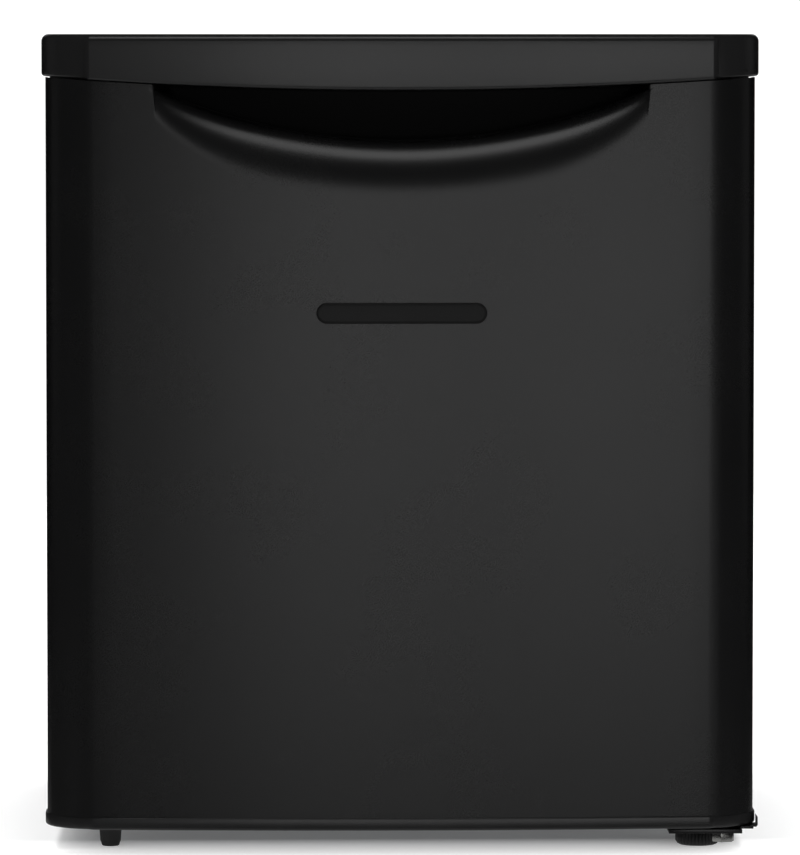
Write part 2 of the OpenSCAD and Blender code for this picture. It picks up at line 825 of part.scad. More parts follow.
module door_liner() {
    color("white") difference() {
        union() {
            box([-door_x + 1.2, door_back - liner_t, liner_z0], [door_x - 1.2, door_back, liner_z1]);
            box([-dyke_x, door_back - 1, dyke_z0], [dyke_x, dyke_y, dyke_z1]);
        }
        box([-dyke_x + dyke_w, door_back, dyke_z0 + dyke_w],
            [dyke_x - dyke_w, dyke_y + e, dyke_z1 - dyke_w]);
        difference() {
            box([-dyke_x + liner_t, door_back - 5, dyke_z0 + liner_t],
                [dyke_x - liner_t, dyke_y - liner_t, dyke_z1 - liner_t]);
            box([-dyke_x + dyke_w - liner_t, door_back - 6, dyke_z0 + dyke_w - liner_t],
                [dyke_x - dyke_w + liner_t, dyke_y, dyke_z1 - dyke_w + liner_t]);
        }
    }
}

module door_gasket() {
    w = 17;
    x = 200;
    color([0.2, 0.2, 0.2]) difference() {
        box([-x, door_back, 45], [x, cab_front - 0.2, 467]);
        box([-x + w, door_back - e, 45 + w], [x - w, cab_front, 467 - w]);
    }
}

module upper_hinge_bush() {
    color("ivory") translate([pin_x, pin_y, 462]) difference() {
        cylinder(r = 7, h = 23);
        translate([0, 0, 2]) cylinder(r = pin_r + pin_gap, h = 40);
    }
}

module lower_hinge_bush() {
    color("ivory") translate([pin_x, pin_y, door_z]) difference() {
        cylinder(r = 7, h = 26);
        translate([0, 0, -e]) cylinder(r = pin_r + pin_gap, h = 23 + e);
    }
}

module door_stop() {
    z0 = cab_z + 0.6;
    color([0.1, 0.1, 0.1]) {
        box([pin_x + 9.5, pin_y - 15, z0], [pin_x + 18, pin_y + 19, door_z]);
        translate([0, pin_y + 5, 0]) rotate([90, 0, 0]) linear_extrude(10) polygon([
            [pin_x + 18, z0], [top_x - 1, z0 - 0.1], [top_x - 0.1, z0 + 1], [top_x - 0.1, z0 + 6],
            [door_x + 1.5, z0 + 7.5], [door_x + 1.5, door_z], [pin_x + 18, door_z]
        ]);
    }
}

badge_z = 342;
badge_w = 106;
badge_h = 13;

module badge() {
    color([0.01, 0.01, 0.01]) intersection() {
        translate([0, door_front + bow_r, badge_z - badge_h]) linear_extrude(2 * badge_h) difference() {
            circle(r = bow_r + 1.6, $fn = 1440);
            circle(r = bow_r + 0.05, $fn = 1440);
        }
        deep(door_front - 5, door_front + 20) translate([0, badge_z]) {
            square([badge_w - badge_h, badge_h], center = true);
            for (s = [-1, 1]) translate([s * (badge_w - badge_h) / 2, 0]) circle(r = badge_h / 2);
        }
    }
}

rack_x = dyke_x - dyke_w - 0.4;
rack_y = door_back + 66;

module lower_rack() {
    color("white") {
        tray([-rack_x, door_back + 0.1, 95], [rack_x, rack_y, 140], 2);
        for (s = [0, 1]) mirror([s, 0, 0]) difference() {
            box([rack_x - 3, rack_y - 14, 138], [rack_x, rack_y, 176]);
            box([rack_x - 3 - e, rack_y - 10, 165], [rack_x - 1.5, rack_y - 4, 171]);
        }
    }
}

module rack_bar() {
    color("silver") translate([-rack_x + 1.6, rack_y - 7, 168]) rotate([0, 90, 0])
        cylinder(r = 2.9, h = 2 * rack_x - 3.2);
}

module upper_rack() {
    color("white") tray([-rack_x, door_back + 0.1, 252], [rack_x, rack_y, 292], 2);
}

cabinet_shell();
base_pan();
bay_shield();
back_panel();
back_panel_screws();
rear_cross_bar();
inner_liner();
insulation_foam();
worktop();
overhang_panel();
worktop_screws();
upper_hinge_bracket();
upper_hinge_pin();
upper_hinge_screws();
lower_hinge_bracket();
lower_hinge_pin();
lower_hinge_washer();
lower_hinge_screws();
front_left_foot();
rear_feet();
wall_spacers();
leveller_nut();
leveller_stud();
leveller_foot();
compressor_lower_shell();
compressor_upper_shell();
pump_motor();
compressor_plate();
compressor_grommets();
compressor_bolts();
relay_cover();
condenser_coil();
discharge_line();
suction_line();
filter_drier();
cord_gland();
evaporator();
ice_box_frame();
freezer_flap();
tray_rails();
drip_tray();
wire_shelf();
thermostat_housing();
thermostat_body();
thermostat_knob();
sensing_bulb();
door_skin();
door_top_cap();
door_bottom_cap();
door_foam();
door_liner();
door_gasket();
upper_hinge_bush();
lower_hinge_bush();
door_stop();
badge();
cap_screws();
lower_rack();
rack_bar();
upper_rack();
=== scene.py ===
"""Looks of a compact one-door refrigerator: camera, light, finishes and the detailed pieces round the frame."""
import json
from math import asin, cos, pi, radians, sin, sqrt

import bmesh
import bpy
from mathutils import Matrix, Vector


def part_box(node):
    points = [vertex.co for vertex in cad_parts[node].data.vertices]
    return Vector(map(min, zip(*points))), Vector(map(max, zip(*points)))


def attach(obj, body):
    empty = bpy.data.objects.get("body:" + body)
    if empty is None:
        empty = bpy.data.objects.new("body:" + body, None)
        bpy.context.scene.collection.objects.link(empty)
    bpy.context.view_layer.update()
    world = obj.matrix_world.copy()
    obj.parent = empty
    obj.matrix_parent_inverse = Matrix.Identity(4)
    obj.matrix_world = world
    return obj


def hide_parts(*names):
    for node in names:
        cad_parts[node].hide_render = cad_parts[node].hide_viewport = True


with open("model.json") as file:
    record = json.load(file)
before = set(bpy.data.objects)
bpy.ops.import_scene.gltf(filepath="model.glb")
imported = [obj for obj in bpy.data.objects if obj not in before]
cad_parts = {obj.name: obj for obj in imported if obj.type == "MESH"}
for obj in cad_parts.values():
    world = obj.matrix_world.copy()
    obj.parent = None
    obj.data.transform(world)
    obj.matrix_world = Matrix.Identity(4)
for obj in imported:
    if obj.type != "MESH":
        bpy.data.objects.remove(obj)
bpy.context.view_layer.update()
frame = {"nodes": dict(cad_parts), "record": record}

MM = 0.001

# How meshes are made
WELD = 1e-6  # points closer than this are one
CAD_WELD = 2e-6  # the same in the CAD meshes
SHARP = 40.0  # an edge that turns by more degrees is rounded
BOW_STEPS, CORNER_STEPS, SIDE_STEPS = 32, 14, 3  # along the plan of the front

# Sizes that the design and this script share, in metres
BOW_R = 2.2
CORNER_R = 0.0338
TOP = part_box("worktop")[1]
LIP_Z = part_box("worktop")[0].z
BAND_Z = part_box("overhang_panel")[0].z
TOP_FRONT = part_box("worktop")[0].y
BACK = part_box("cabinet_shell")[1].y
CAB_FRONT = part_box("cabinet_shell")[0].y
DOOR_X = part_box("door_skin")[1].x
DOOR_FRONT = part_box("door_skin")[0].y
DOOR_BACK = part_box("door_skin")[1].y
SKIN_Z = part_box("door_skin")[0].z
DOOR_GAP = 0.7 * MM
DOOR_TOP = LIP_Z - DOOR_GAP
ARCH_R = TOP.x ** 2 / (2 * (BAND_Z - LIP_Z)) + (BAND_Z - LIP_Z) / 2
PIN_X = 0.203
PIN_Y = DOOR_FRONT + 33.5 * MM

# The grip: its lip is an arc of LIP_R about an axis high over the door, and the sheet rolls in over it
SMILE_AXIS = TOP.z + 324.8 * MM
LIP_R = 391 * MM
ROLL_W = 34 * MM
ROLL_D = 18.5 * MM
GRIP_END = 154.5 * MM
GRIP_DEPTH = 40.2 * MM
FULL_ROLL, FULL_WIDTH, FULL_POCKET = 0.09, 0.07, 0.1385  # as deep and as wide as in the middle up to these x
FACE_ROWS, ROLL_ROWS, LIP_ROWS, BACK_ROWS = 12, 16, 5, 6

# The raised ring on the door's inside
DYKE_X, DYKE_Z = 0.172, (0.072, 0.440)


# ---------- finishes ----------

def finish(name, colour, rough, metallic=0.0, tone=0.12, grain=900.0, bump=0.05, stretch=(1, 1, 1),
           blotch=14.0, rough_spread=0.06, sockets=None):
    """A node material: base colour with broad and fine tone changes, uneven roughness and a fine bump."""
    made = bpy.data.materials.new(name)
    made.use_nodes = True
    tree = made.node_tree
    shader = tree.nodes["Principled BSDF"]
    shader.inputs["Metallic"].default_value = metallic
    for socket, value in (sockets or {}).items():
        shader.inputs[socket].default_value = value

    def node(kind, **values):
        fresh = tree.nodes.new(kind)
        for key, value in values.items():
            if hasattr(fresh, key):
                setattr(fresh, key, value)
            else:
                fresh.inputs[key].default_value = value
        return fresh

    def link(source, out, target, into):
        tree.links.new(source.outputs[out], target.inputs[into])

    place = node("ShaderNodeTexCoord")
    mapping = node("ShaderNodeMapping")
    mapping.inputs["Scale"].default_value = stretch
    link(place, "Object", mapping, "Vector")
    fine = node("ShaderNodeTexNoise", Scale=grain, Detail=3.0, Roughness=0.6)
    broad = node("ShaderNodeTexNoise", Scale=blotch, Detail=4.0, Roughness=0.5)
    link(mapping, "Vector", fine, "Vector")
    link(mapping, "Vector", broad, "Vector")
    blend = node("ShaderNodeMix", data_type="FLOAT")
    blend.inputs[0].default_value = 0.35
    link(broad, "Fac", blend, 2)
    link(fine, "Fac", blend, 3)
    ramp = node("ShaderNodeValToRGB")
    low, high = ramp.color_ramp.elements
    low.position, high.position = 0.3, 0.7
    low.color = [c * (1 - tone) for c in colour] + [1]
    high.color = [min(1.0, c * (1 + tone)) for c in colour] + [1]
    link(blend, 0, ramp, "Fac")
    link(ramp, "Color", shader, "Base Color")
    spread = node("ShaderNodeMapRange")
    spread.inputs["To Min"].default_value = max(0.02, rough - rough_spread)
    spread.inputs["To Max"].default_value = rough + rough_spread
    link(blend, 0, spread, "Value")
    link(spread, "Result", shader, "Roughness")
    relief = node("ShaderNodeBump", Strength=bump, Distance=0.0004)
    link(fine, "Fac", relief, "Height")
    link(relief, "Normal", shader, "Normal")
    return made


BLACK = (0.003, 0.003, 0.0031)
FINISHES = {
    "black_paint": finish("black_paint", BLACK, 0.27, tone=0.10, grain=1500, bump=0.10, rough_spread=0.03),
    "black_cabinet_paint": finish("black_cabinet_paint", (0.0110, 0.0110, 0.0114), 0.42, grain=1100, bump=0.16),
    "worktop_plastic": finish("worktop_plastic", (0.0055, 0.0055, 0.0056), 0.25, grain=1300, bump=0.12,
                              rough_spread=0.03),
    "black_plastic": finish("black_plastic", (0.0038, 0.0038, 0.0038), 0.42, grain=1400, bump=0.2),
    "black_gloss": finish("black_gloss", (0.0025, 0.0025, 0.0025), 0.30, tone=0.2, bump=0.02, rough_spread=0.02,
                          sockets={"Specular IOR Level": 0.15}),
    "white_liner": finish("white_liner", (0.58, 0.59, 0.59), 0.30, tone=0.015, grain=500, bump=0.05,
                          sockets={"Subsurface Weight": 0.05, "Subsurface Scale": 0.002}),
    "white_plastic": finish("white_plastic", (0.56, 0.57, 0.57), 0.38, tone=0.02, grain=1200, bump=0.10),
    "clear_tray": finish("clear_tray", (0.74, 0.83, 0.90), 0.16, tone=0.02, bump=0.03,
                         sockets={"Transmission Weight": 0.75, "IOR": 1.49}),
    "insulation": finish("insulation", (0.70, 0.58, 0.30), 0.9, tone=0.2, grain=600, bump=0.6),
    "galvanised": finish("galvanised", (0.46, 0.47, 0.48), 0.42, 0.9, tone=0.22, grain=260, blotch=90,
                         bump=0.08),
    "bright_steel": finish("bright_steel", (0.56, 0.56, 0.54), 0.26, 1.0, tone=0.12, stretch=(1, 1, 6)),
    "chrome_bar": finish("chrome_bar", (0.72, 0.72, 0.73), 0.08, 1.0, tone=0.04, bump=0.01, rough_spread=0.03),
    "ice_box_aluminium": finish("ice_box_aluminium", (0.68, 0.69, 0.70), 0.34, 0.9, tone=0.08,
                                stretch=(1, 8, 1), bump=0.08),
    "black_rubber": finish("black_rubber", (0.011, 0.011, 0.011), 0.75, tone=0.2, grain=900, bump=0.3),
    "gasket_rubber": finish("gasket_rubber", (0.045, 0.045, 0.047), 0.6, tone=0.12, grain=800, bump=0.15),
    "copper_tube": finish("copper_tube", (0.62, 0.29, 0.17), 0.30, 1.0, tone=0.25, blotch=30, grain=500),
    "motor_iron": finish("motor_iron", (0.32, 0.23, 0.16), 0.5, 0.8, tone=0.2),
    "nylon": finish("nylon", (0.72, 0.68, 0.56), 0.42, tone=0.05, sockets={"Subsurface Weight": 0.1}),
    # painted shade: a black darker than the plastic, with little reflection, stands for the shade in the grip's
    # pocket and behind its lip
    "painted_shade_black": finish("painted_shade_black", (0.0012, 0.0012, 0.0012), 0.6, tone=0.2, bump=0.2,
                          sockets={"Specular IOR Level": 0.12}),
    "white_wire": finish("white_wire", (0.60, 0.61, 0.61), 0.22, tone=0.02, grain=400, bump=0.05,
                         sockets={"Coat Weight": 0.3}),
}
SLOTS = {part["node"]: part["material_slot"] for part in frame["record"]["subparts"]}
for node_name, cad_object in frame["nodes"].items():
    cad_object.data.materials.clear()
    cad_object.data.materials.append(FINISHES[SLOTS[node_name]])


# ---------- making pieces ----------

def shade(mesh, angle=35.0):
    """Smooth shading with hard edges where the faces turn by more than the angle."""
    work = bmesh.new()
    work.from_mesh(mesh)
    bmesh.ops.recalc_face_normals(work, faces=work.faces)
    for face in work.faces:
        face.smooth = True
    for edge in work.edges:
        edge.smooth = len(edge.link_faces) == 2 and edge.calc_face_angle(0) < radians(angle)
    work.to_mesh(mesh)
    work.free()


def add(name, mesh, body, slot_name, nodes=(), angle=35.0, look=None):
    """Puts a mesh in the scene as a finished piece: shaded, given its finish, riding on its body."""
    shade(mesh, angle)
    mesh.materials.clear()
    mesh.materials.append(FINISHES[look or slot_name])
    piece = bpy.data.objects.new(name, mesh)
    bpy.context.scene.collection.objects.link(piece)
    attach(piece, body)
    if nodes:
        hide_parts(*nodes)


def stand_in(name, mesh, body, node, **more):
    """Adds the piece that takes a CAD node's place, in that node's own finish."""
    add(name, mesh, body, SLOTS[node], [node], **more)


def mm(pairs):
    """Pairs of millimetres in metres."""
    return [(a * MM, b * MM) for a, b in pairs]


def mesh_of(name, points, faces):
    """A mesh from its points and faces."""
    mesh = bpy.data.meshes.new(name)
    mesh.from_pydata(points, [], faces)
    return mesh


def welded(mesh):
    """The mesh with its coinciding points joined and its empty faces removed."""
    work = bmesh.new()
    work.from_mesh(mesh)
    bmesh.ops.remove_doubles(work, verts=work.verts, dist=WELD)
    bmesh.ops.dissolve_degenerate(work, dist=WELD, edges=work.edges)
    work.to_mesh(mesh)
    work.free()
    return mesh


def with_modifier(mesh, kind, **settings):
    """The mesh after one modifier."""
    holder = bpy.data.objects.new("holder", mesh)
    bpy.context.scene.collection.objects.link(holder)
    modifier = holder.modifiers.new("work", kind)
    for key, value in settings.items():
        setattr(modifier, key, value)
    bpy.context.view_layer.update()
    result = bpy.data.meshes.new_from_object(holder.evaluated_get(bpy.context.evaluated_depsgraph_get()))
    bpy.data.objects.remove(holder)
    return result


def cut(mesh, cutter):
    """The mesh without what the closed cutter covers."""
    shade(mesh)
    shade(cutter)
    tool = bpy.data.objects.new("cutter", cutter)
    bpy.context.scene.collection.objects.link(tool)
    result = with_modifier(mesh, "BOOLEAN", operation="DIFFERENCE", solver="EXACT", object=tool)
    bpy.data.objects.remove(tool)
    return result


def loft(name, rings, closed=True, caps=True):
    """A skin through rings of points; closed rings join round, and caps fill the first and the last."""
    count = len(rings[0])
    points = [point for ring in rings for point in ring]
    faces = []
    for row in range(len(rings) - 1):
        for column in range(count if closed else count - 1):
            here, there = column, (column + 1) % count
            faces.append((row * count + here, row * count + there,
                          (row + 1) * count + there, (row + 1) * count + here))
    if caps:
        faces.append(tuple(range(count)))
        faces.append(tuple(range((len(rings) - 1) * count, len(rings) * count)))
    return mesh_of(name, points, faces)


def bow_y(x):
    """Where the door's bowed front lies at x."""
    return DOOR_FRONT + BOW_R - sqrt(BOW_R ** 2 - x * x)


def bow_end(half_w):
    """Angle at which the bow runs into the corner, and that corner's centre."""
    x = half_w - CORNER_R
    y = DOOR_FRONT - (DOOR_X - half_w) + BOW_R - sqrt((BOW_R - CORNER_R) ** 2 - x * x)
    return asin(x / (BOW_R - CORNER_R)), x, y


def plan(half_w, back, inset=0.0, xs=None):
    """Plan points from the back left, round the bowed front, to the back right."""
    front = DOOR_FRONT - (half_w - DOOR_X)
    tilt, cx, cy = bow_end(half_w)
    bow = BOW_R - inset
    if xs is None:
        xs = [bow * sin(tilt * i / BOW_STEPS) for i in range(BOW_STEPS + 1)]
    else:
        xs = [x for x in xs if x < bow * sin(tilt) - 1e-5] + [bow * sin(tilt)]
    right = [(x, front + BOW_R - sqrt(bow * bow - x * x)) for x in xs]
    for i in range(1, CORNER_STEPS + 1):
        a = tilt + (pi / 2 - tilt) * i / CORNER_STEPS
        right.append((cx + (CORNER_R - inset) * sin(a), cy - (CORNER_R - inset) * cos(a)))
    for i in range(1, SIDE_STEPS + 1):
        right.append((half_w - inset, cy + (back - cy) * i / SIDE_STEPS))
    return [(-x, y) for x, y in reversed(right[1:])] + right


def arch(x):
    """Rise of the worktop's lower edge at x above its middle."""
    return ARCH_R - sqrt(ARCH_R ** 2 - min(abs(x), TOP.x) ** 2)


def joined(name, meshes):
    """One mesh that holds several."""
    work = bmesh.new()
    for mesh in meshes:
        work.from_mesh(mesh)
    result = bpy.data.meshes.new(name)
    work.to_mesh(result)
    work.free()
    return result


def rounded(mesh, width, segments, keep=lambda edge: False):
    """The mesh with its sharp edges rounded, but for those that keep() picks."""
    work = bmesh.new()
    work.from_mesh(mesh)
    bmesh.ops.remove_doubles(work, verts=work.verts, dist=CAD_WELD)
    bmesh.ops.dissolve_limit(work, angle_limit=radians(1), verts=work.verts, edges=work.edges)
    bmesh.ops.recalc_face_normals(work, faces=work.faces)
    sharp = [edge for edge in work.edges if len(edge.link_faces) == 2
             and edge.calc_face_angle(0) > radians(SHARP) and not keep(edge)]
    bmesh.ops.bevel(work, geom=sharp, offset=width, segments=segments, profile=0.5, affect="EDGES",
                    clamp_overlap=True)
    bmesh.ops.recalc_face_normals(work, faces=work.faces)
    result = bpy.data.meshes.new(mesh.name)
    work.to_mesh(result)
    work.free()
    return result


def block(name, low, high, width=0.0, segments=3):
    """A block between two corners, rounded if it has a width."""
    ring = [(low[0], low[1]), (high[0], low[1]), (high[0], high[1]), (low[0], high[1])]
    mesh = loft(name, [[(x, y, z) for x, y in ring] for z in (low[2], high[2])])
    return rounded(mesh, width, segments) if width else mesh


# The two directions across an axis, and its own
AXES = {"X": ((0, 1, 0), (0, 0, 1), (1, 0, 0)), "Y": ((0, 0, 1), (1, 0, 0), (0, 1, 0)),
        "Z": ((1, 0, 0), (0, 1, 0), (0, 0, 1))}


def turned(name, centre, profile, axis="Z", steps=40, notch=None, caps=True):
    """A body turned about an axis through centre from (radius, along) pairs; notch(angle, radius) scales it."""
    u, v, w = (Vector(vector) for vector in AXES[axis])
    rings = []
    for radius, along in profile:
        ring = []
        for i in range(steps):
            a = 2 * pi * i / steps
            r = radius * (notch(a, radius) if notch else 1)
            ring.append(Vector(centre) + u * r * cos(a) + v * r * sin(a) + w * along)
        rings.append(ring)
    return loft(name, rings, caps=caps)


def arc(centre_r, centre_z, radius, start, stop, steps):
    """(radius, along) pairs along an arc, angles in degrees."""
    return [(centre_r + radius * cos(radians(start + (stop - start) * i / steps)),
             centre_z + radius * sin(radians(start + (stop - start) * i / steps))) for i in range(steps + 1)]


def bent(points, bend):
    """The route with each corner turned into an arc of about that radius."""
    points = [Vector(point) for point in points]
    route = [points[0]]
    for before, corner, after in zip(points, points[1:], points[2:]):
        reach = min(bend, (corner - before).length * 0.49, (after - corner).length * 0.49)
        start = corner + (before - corner).normalized() * reach
        stop = corner + (after - corner).normalized() * reach
        for i in range(7):
            t = i / 6
            route.append(start.lerp(corner, t).lerp(corner.lerp(stop, t), t))
    route.append(points[-1])
    return route


def tube(name, points, radius, bend=0.0, steps=14, loop=False):
    """A round bar or pipe along a route, closed at its ends or into a loop."""
    route = bent(points, bend) if bend else [Vector(point) for point in points]
    count = len(route)
    rings = []
    side = None
    for i, point in enumerate(route):
        ahead = route[(i + 1) % count] if loop or i < count - 1 else point
        behind = route[i - 1] if loop or i else point
        along = (ahead - behind).normalized()
        side = along.orthogonal() if side is None else side - along * side.dot(along)
        side.normalize()
        up = along.cross(side)
        rings.append([point + (side * cos(2 * pi * j / steps) + up * sin(2 * pi * j / steps)) * radius
                      for j in range(steps)])
    if loop:
        return welded(loft(name, rings + rings[:1], caps=False))
    return loft(name, rings)


def softened(node, width, body="cabinet", look=None):
    """Stands for a CAD node with its own shape and its sharp edges rounded."""
    mesh = rounded(frame["nodes"][node].data, width * MM, 2)
    stand_in(node + "_finished", mesh, body, node, look=look)


# ---------- door ----------

def swell(x, start, stop):
    """1 up to start, then down a quarter of an ellipse to 0 at stop."""
    return sqrt(max(0.0, 1 - (max(0.0, abs(x) - start) / (stop - start)) ** 2))


def smile_height(radius, x):
    """Height at x of an arc about the grip's axis."""
    return SMILE_AXIS - sqrt(max(radius ** 2 - x * x, 0))


def door_column(x, y):
    """Points up the door's face at one place in its plan, over the rolled lip and through the grip."""
    top = DOOR_TOP + arch(x)
    lip = min(smile_height(LIP_R, min(abs(x), LIP_R * 0.9)), top - 1.5 * MM)
    wide = ROLL_W * swell(x, FULL_WIDTH, GRIP_END + 0.01)
    in_grip = abs(x) < GRIP_END
    start = smile_height(LIP_R + wide, x) if in_grip else lip
    depth = ROLL_D * swell(x, FULL_ROLL, GRIP_END) if in_grip else 0
    pocket = max(depth, GRIP_DEPTH * swell(x, FULL_POCKET, GRIP_END)) if in_grip else 0
    column = [(x, y, start - (start - SKIN_Z) * (1 - i / FACE_ROWS) ** 2.2) for i in range(FACE_ROWS + 1)]
    for i in range(1, ROLL_ROWS + 1):
        t = pi / 2 * i / ROLL_ROWS
        z = smile_height(LIP_R + wide * (1 - sin(t)), x) if in_grip else lip
        column.append((x, y + depth * (1 - cos(t)), z))
    column += [(x, y + depth + (pocket - depth) * i / LIP_ROWS, lip) for i in range(1, LIP_ROWS + 1)]
    column += [(x, y + pocket, lip + (top - lip) * i / BACK_ROWS) for i in range(1, BACK_ROWS + 1)]
    return column


def door_skin():
    """The sheet of the door, rolled in over the grip, and the moulded pocket behind its lip."""
    # columns 6 mm apart in the middle, closer where the grip ends
    xs = [i * 6 * MM for i in range(20)] + [0.12 + i * 1.5 * MM for i in range(23)]
    xs += [GRIP_END, 0.157, 0.161, 0.168, 0.178]
    columns = [door_column(x, y) for x, y in plan(DOOR_X, DOOR_BACK, xs=xs)]
    whole = loft("door_sheet", columns, closed=False, caps=False)
    rows = len(columns[0])
    sheet, pocket = bmesh.new(), bmesh.new()
    for half, wanted in ((sheet, False), (pocket, True)):
        half.from_mesh(whole)
        drop = []
        for face in half.faces:
            behind = min(v.index % rows for v in face.verts) >= FACE_ROWS + ROLL_ROWS
            inside = max(abs(v.co.x) for v in face.verts) < GRIP_END + 0.1 * MM
            if (behind and inside) != wanted:
                drop.append(face)
        bmesh.ops.delete(half, geom=drop, context="FACES")
    parts = []
    for name, half in (("door_sheet", sheet), ("grip_pocket", pocket)):
        bmesh.ops.remove_doubles(half, verts=half.verts, dist=WELD)
        bmesh.ops.dissolve_degenerate(half, dist=WELD, edges=half.edges)
        bmesh.ops.delete(half, geom=[v for v in half.verts if not v.link_faces], context="VERTS")
        bmesh.ops.recalc_face_normals(half, faces=half.faces)
        front = max(half.faces, key=lambda face: -face.calc_center_median().y)
        if front.normal.y > 0:
            bmesh.ops.reverse_faces(half, faces=half.faces)
        mesh = bpy.data.meshes.new(name)
        half.to_mesh(mesh)
        half.free()
        parts.append(with_modifier(mesh, "SOLIDIFY", thickness=1 * MM, offset=-1, use_even_offset=True))
    for vertex in parts[1].vertices:  # clear of the sheet and of the worktop
        vertex.co += Vector((0, 0.3, -0.5)) * MM
    # painted shade: the pocket's black plastic takes the darker, barely reflecting black that stands for the shade
    # in it
    add("grip_pocket", parts[1], "door", "black_plastic", look="painted_shade_black")
    add("door_sheet", parts[0], "door", "black_paint", ["door_skin"])


def moulding(name, half_w, back, rows):
    """A closed moulding that follows the bowed plan; each row gives its inset and a height at (x, y)."""
    rings = []
    for inset, height in rows:
        ring = plan(half_w, back - inset, inset)
        x = half_w - inset
        chamfer = max(0.6 * MM, 1.5 * MM + (3 * MM - inset) * 0.9)
        edge = [(x - chamfer, back - inset), (x - 4.4 * MM, back - inset)]
        ring += edge + [(-px, py) for px, py in reversed(edge)]
        rings.append([(px, py, height(px, py)) for px, py in ring])
    return loft(name, rings)


def worktop():
    """The worktop's moulding, whose lower edge hangs lowest at the middle of the front."""
    inner, fillet, drop = 3 * MM, 4.5 * MM, 2 * MM

    def lower(x, y):
        if y > CAB_FRONT - 20 * MM:
            return BAND_Z
        return LIP_Z + arch(x)

    rows = [(inner, lambda x, y: TOP.z - 3.5 * MM), (inner, lambda x, y: lower(x, y) + 0.4 * MM)]
    rows += [(inner - 0.4 * MM, lower), (drop, lower)]
    for i in range(1, 7):
        a = pi / 2 * i / 6
        rows.append((drop * (1 - sin(a)), lambda x, y, a=a: lower(x, y) + drop * (1 - cos(a))))
    rows.append((0, lambda x, y: TOP.z - fillet - 3 * MM))
    for i in range(11):
        a = pi / 2 * i / 10
        rows.append((fillet * (1 - cos(a)), lambda x, y, a=a: TOP.z - fillet * (1 - sin(a))))
    rows.append((12 * MM, lambda x, y: TOP.z))
    add("worktop_moulding", moulding("worktop_moulding", TOP.x, BACK, rows), "cabinet", "worktop_plastic",
        ["worktop"])


def door_trim():
    """The door's bottom cap, with the band inside the sheet and the boss of the hinge bush."""
    low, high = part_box("door_bottom_cap")
    thick, round_top, round_low = 5 * MM, 0.9 * MM, 1.6 * MM
    rows = [(thick, lambda x, y: low.z + 2.5 * MM), (thick, lambda x, y: SKIN_Z - 0.3 * MM)]
    quarter = [pi / 2 * i / 5 for i in range(6)]
    for a in quarter:
        rows.append((round_top * (1 - sin(a)), lambda x, y, a=a: SKIN_Z - round_top * (1 - cos(a))))
    for a in quarter:
        rows.append((round_low * (1 - cos(a)), lambda x, y, a=a: low.z + round_low * (1 - sin(a))))
    rows.append((8 * MM, lambda x, y: low.z))
    bush_r = 7.05
    hole = turned("cutter", (PIN_X, PIN_Y, low.z), mm([(bush_r, -5), (bush_r, 20)]))
    mesh = cut(moulding("door_trim", high.x, DOOR_BACK, rows), hole)
    band = []
    for d, z in mm([(1.1, 2), (1.1, 21), (3.1, 21), (3.1, 2), (1.1, 2)]):
        band.append([(x, y, low.z + z) for x, y in plan(DOOR_X, DOOR_BACK - d, d)])
    boss = [(10, 2), (10, 25.6), (9.6, 26), (7.4, 26), (bush_r, 25.6), (bush_r, 2), (10, 2)]
    boss = turned("boss", (PIN_X, PIN_Y, low.z), mm(boss), steps=48, caps=False)
    mesh = joined("door_trim", [mesh, welded(loft("band", band, caps=False)), welded(boss)])
    add("door_trim", mesh, "door", "black_plastic", ["door_bottom_cap"], look="worktop_plastic")


def door_core():
    """The foam of the door, from the bottom cap up, set back behind the grip."""
    low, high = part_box("door_foam")
    inset = 1.4 * MM
    behind = GRIP_DEPTH + 3 * MM
    rings = []
    levels = [low.z, low.z + 0.15, low.z + 0.3]
    levels += [SMILE_AXIS - LIP_R - ROLL_W + (4 * i - 6) * MM for i in range(14)]
    for z in levels:
        ring = []
        for x, y in plan(DOOR_X, high.y, inset):
            near = SMILE_AXIS - z < sqrt(max(0, (LIP_R + ROLL_W + 4 * MM) ** 2 - x * x))
            inside = near and abs(x) < GRIP_END + 6 * MM
            ring.append((x, max(y, bow_y(x) + behind) if inside else y, z))
        rings.append(ring)
    add("door_core", loft("door_core", rings), "door", "insulation", ["door_foam"])


def badge():
    """A plain lozenge with a raised rim that follows the bow."""
    low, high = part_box("badge")
    half_h = (high.z - low.z) / 2
    reach = high.x - half_h
    middle = (high.z + low.z) / 2
    rows = [(0, 0.02), (0, 1.1), (0.15, 1.4), (0.5, 1.6), (1.1, 1.55), (1.4, 1.15), (2.6, 1.1), (5, 1.1)]
    rings = []
    for inset, height in mm(rows):
        ring = []
        for side, start in ((1, -pi / 2), (-1, pi / 2)):
            for i in range(17):
                a = start + pi * i / 16
                x = side * reach + (half_h - inset) * cos(a)
                ring.append((x, bow_y(x) - height, middle + (half_h - inset) * sin(a)))
        rings.append(ring)
    add("door_badge", loft("door_badge", rings), "door", "black_gloss", ["badge"])


# ---------- fasteners and feet ----------

def cross_head(name, place, axis, sign, radius, height):
    """A domed screw head with a cross recess, its base at place."""
    dome = [(0.2 * radius, 0), (radius, 0), (radius, height * 0.35)]
    dome += [(radius * cos(a), height * (0.35 + 0.65 * sin(a))) for a in (0.5, 0.9, 1.25)]
    mesh = turned(name, (0, 0, 0), dome, steps=28)
    arm, wide = radius * 0.55, radius * 0.16
    for x, y in ((arm, wide), (wide, arm)):
        mesh = cut(mesh, block("cutter", (-x, -y, height * 0.45), (x, y, height * 2)))
    u, v, w = (Vector(vector) for vector in AXES[axis])
    for vertex in mesh.vertices:
        local = vertex.co.copy()
        vertex.co = Vector(place) + u * local.x + v * local.y * sign + w * local.z * sign
    return mesh


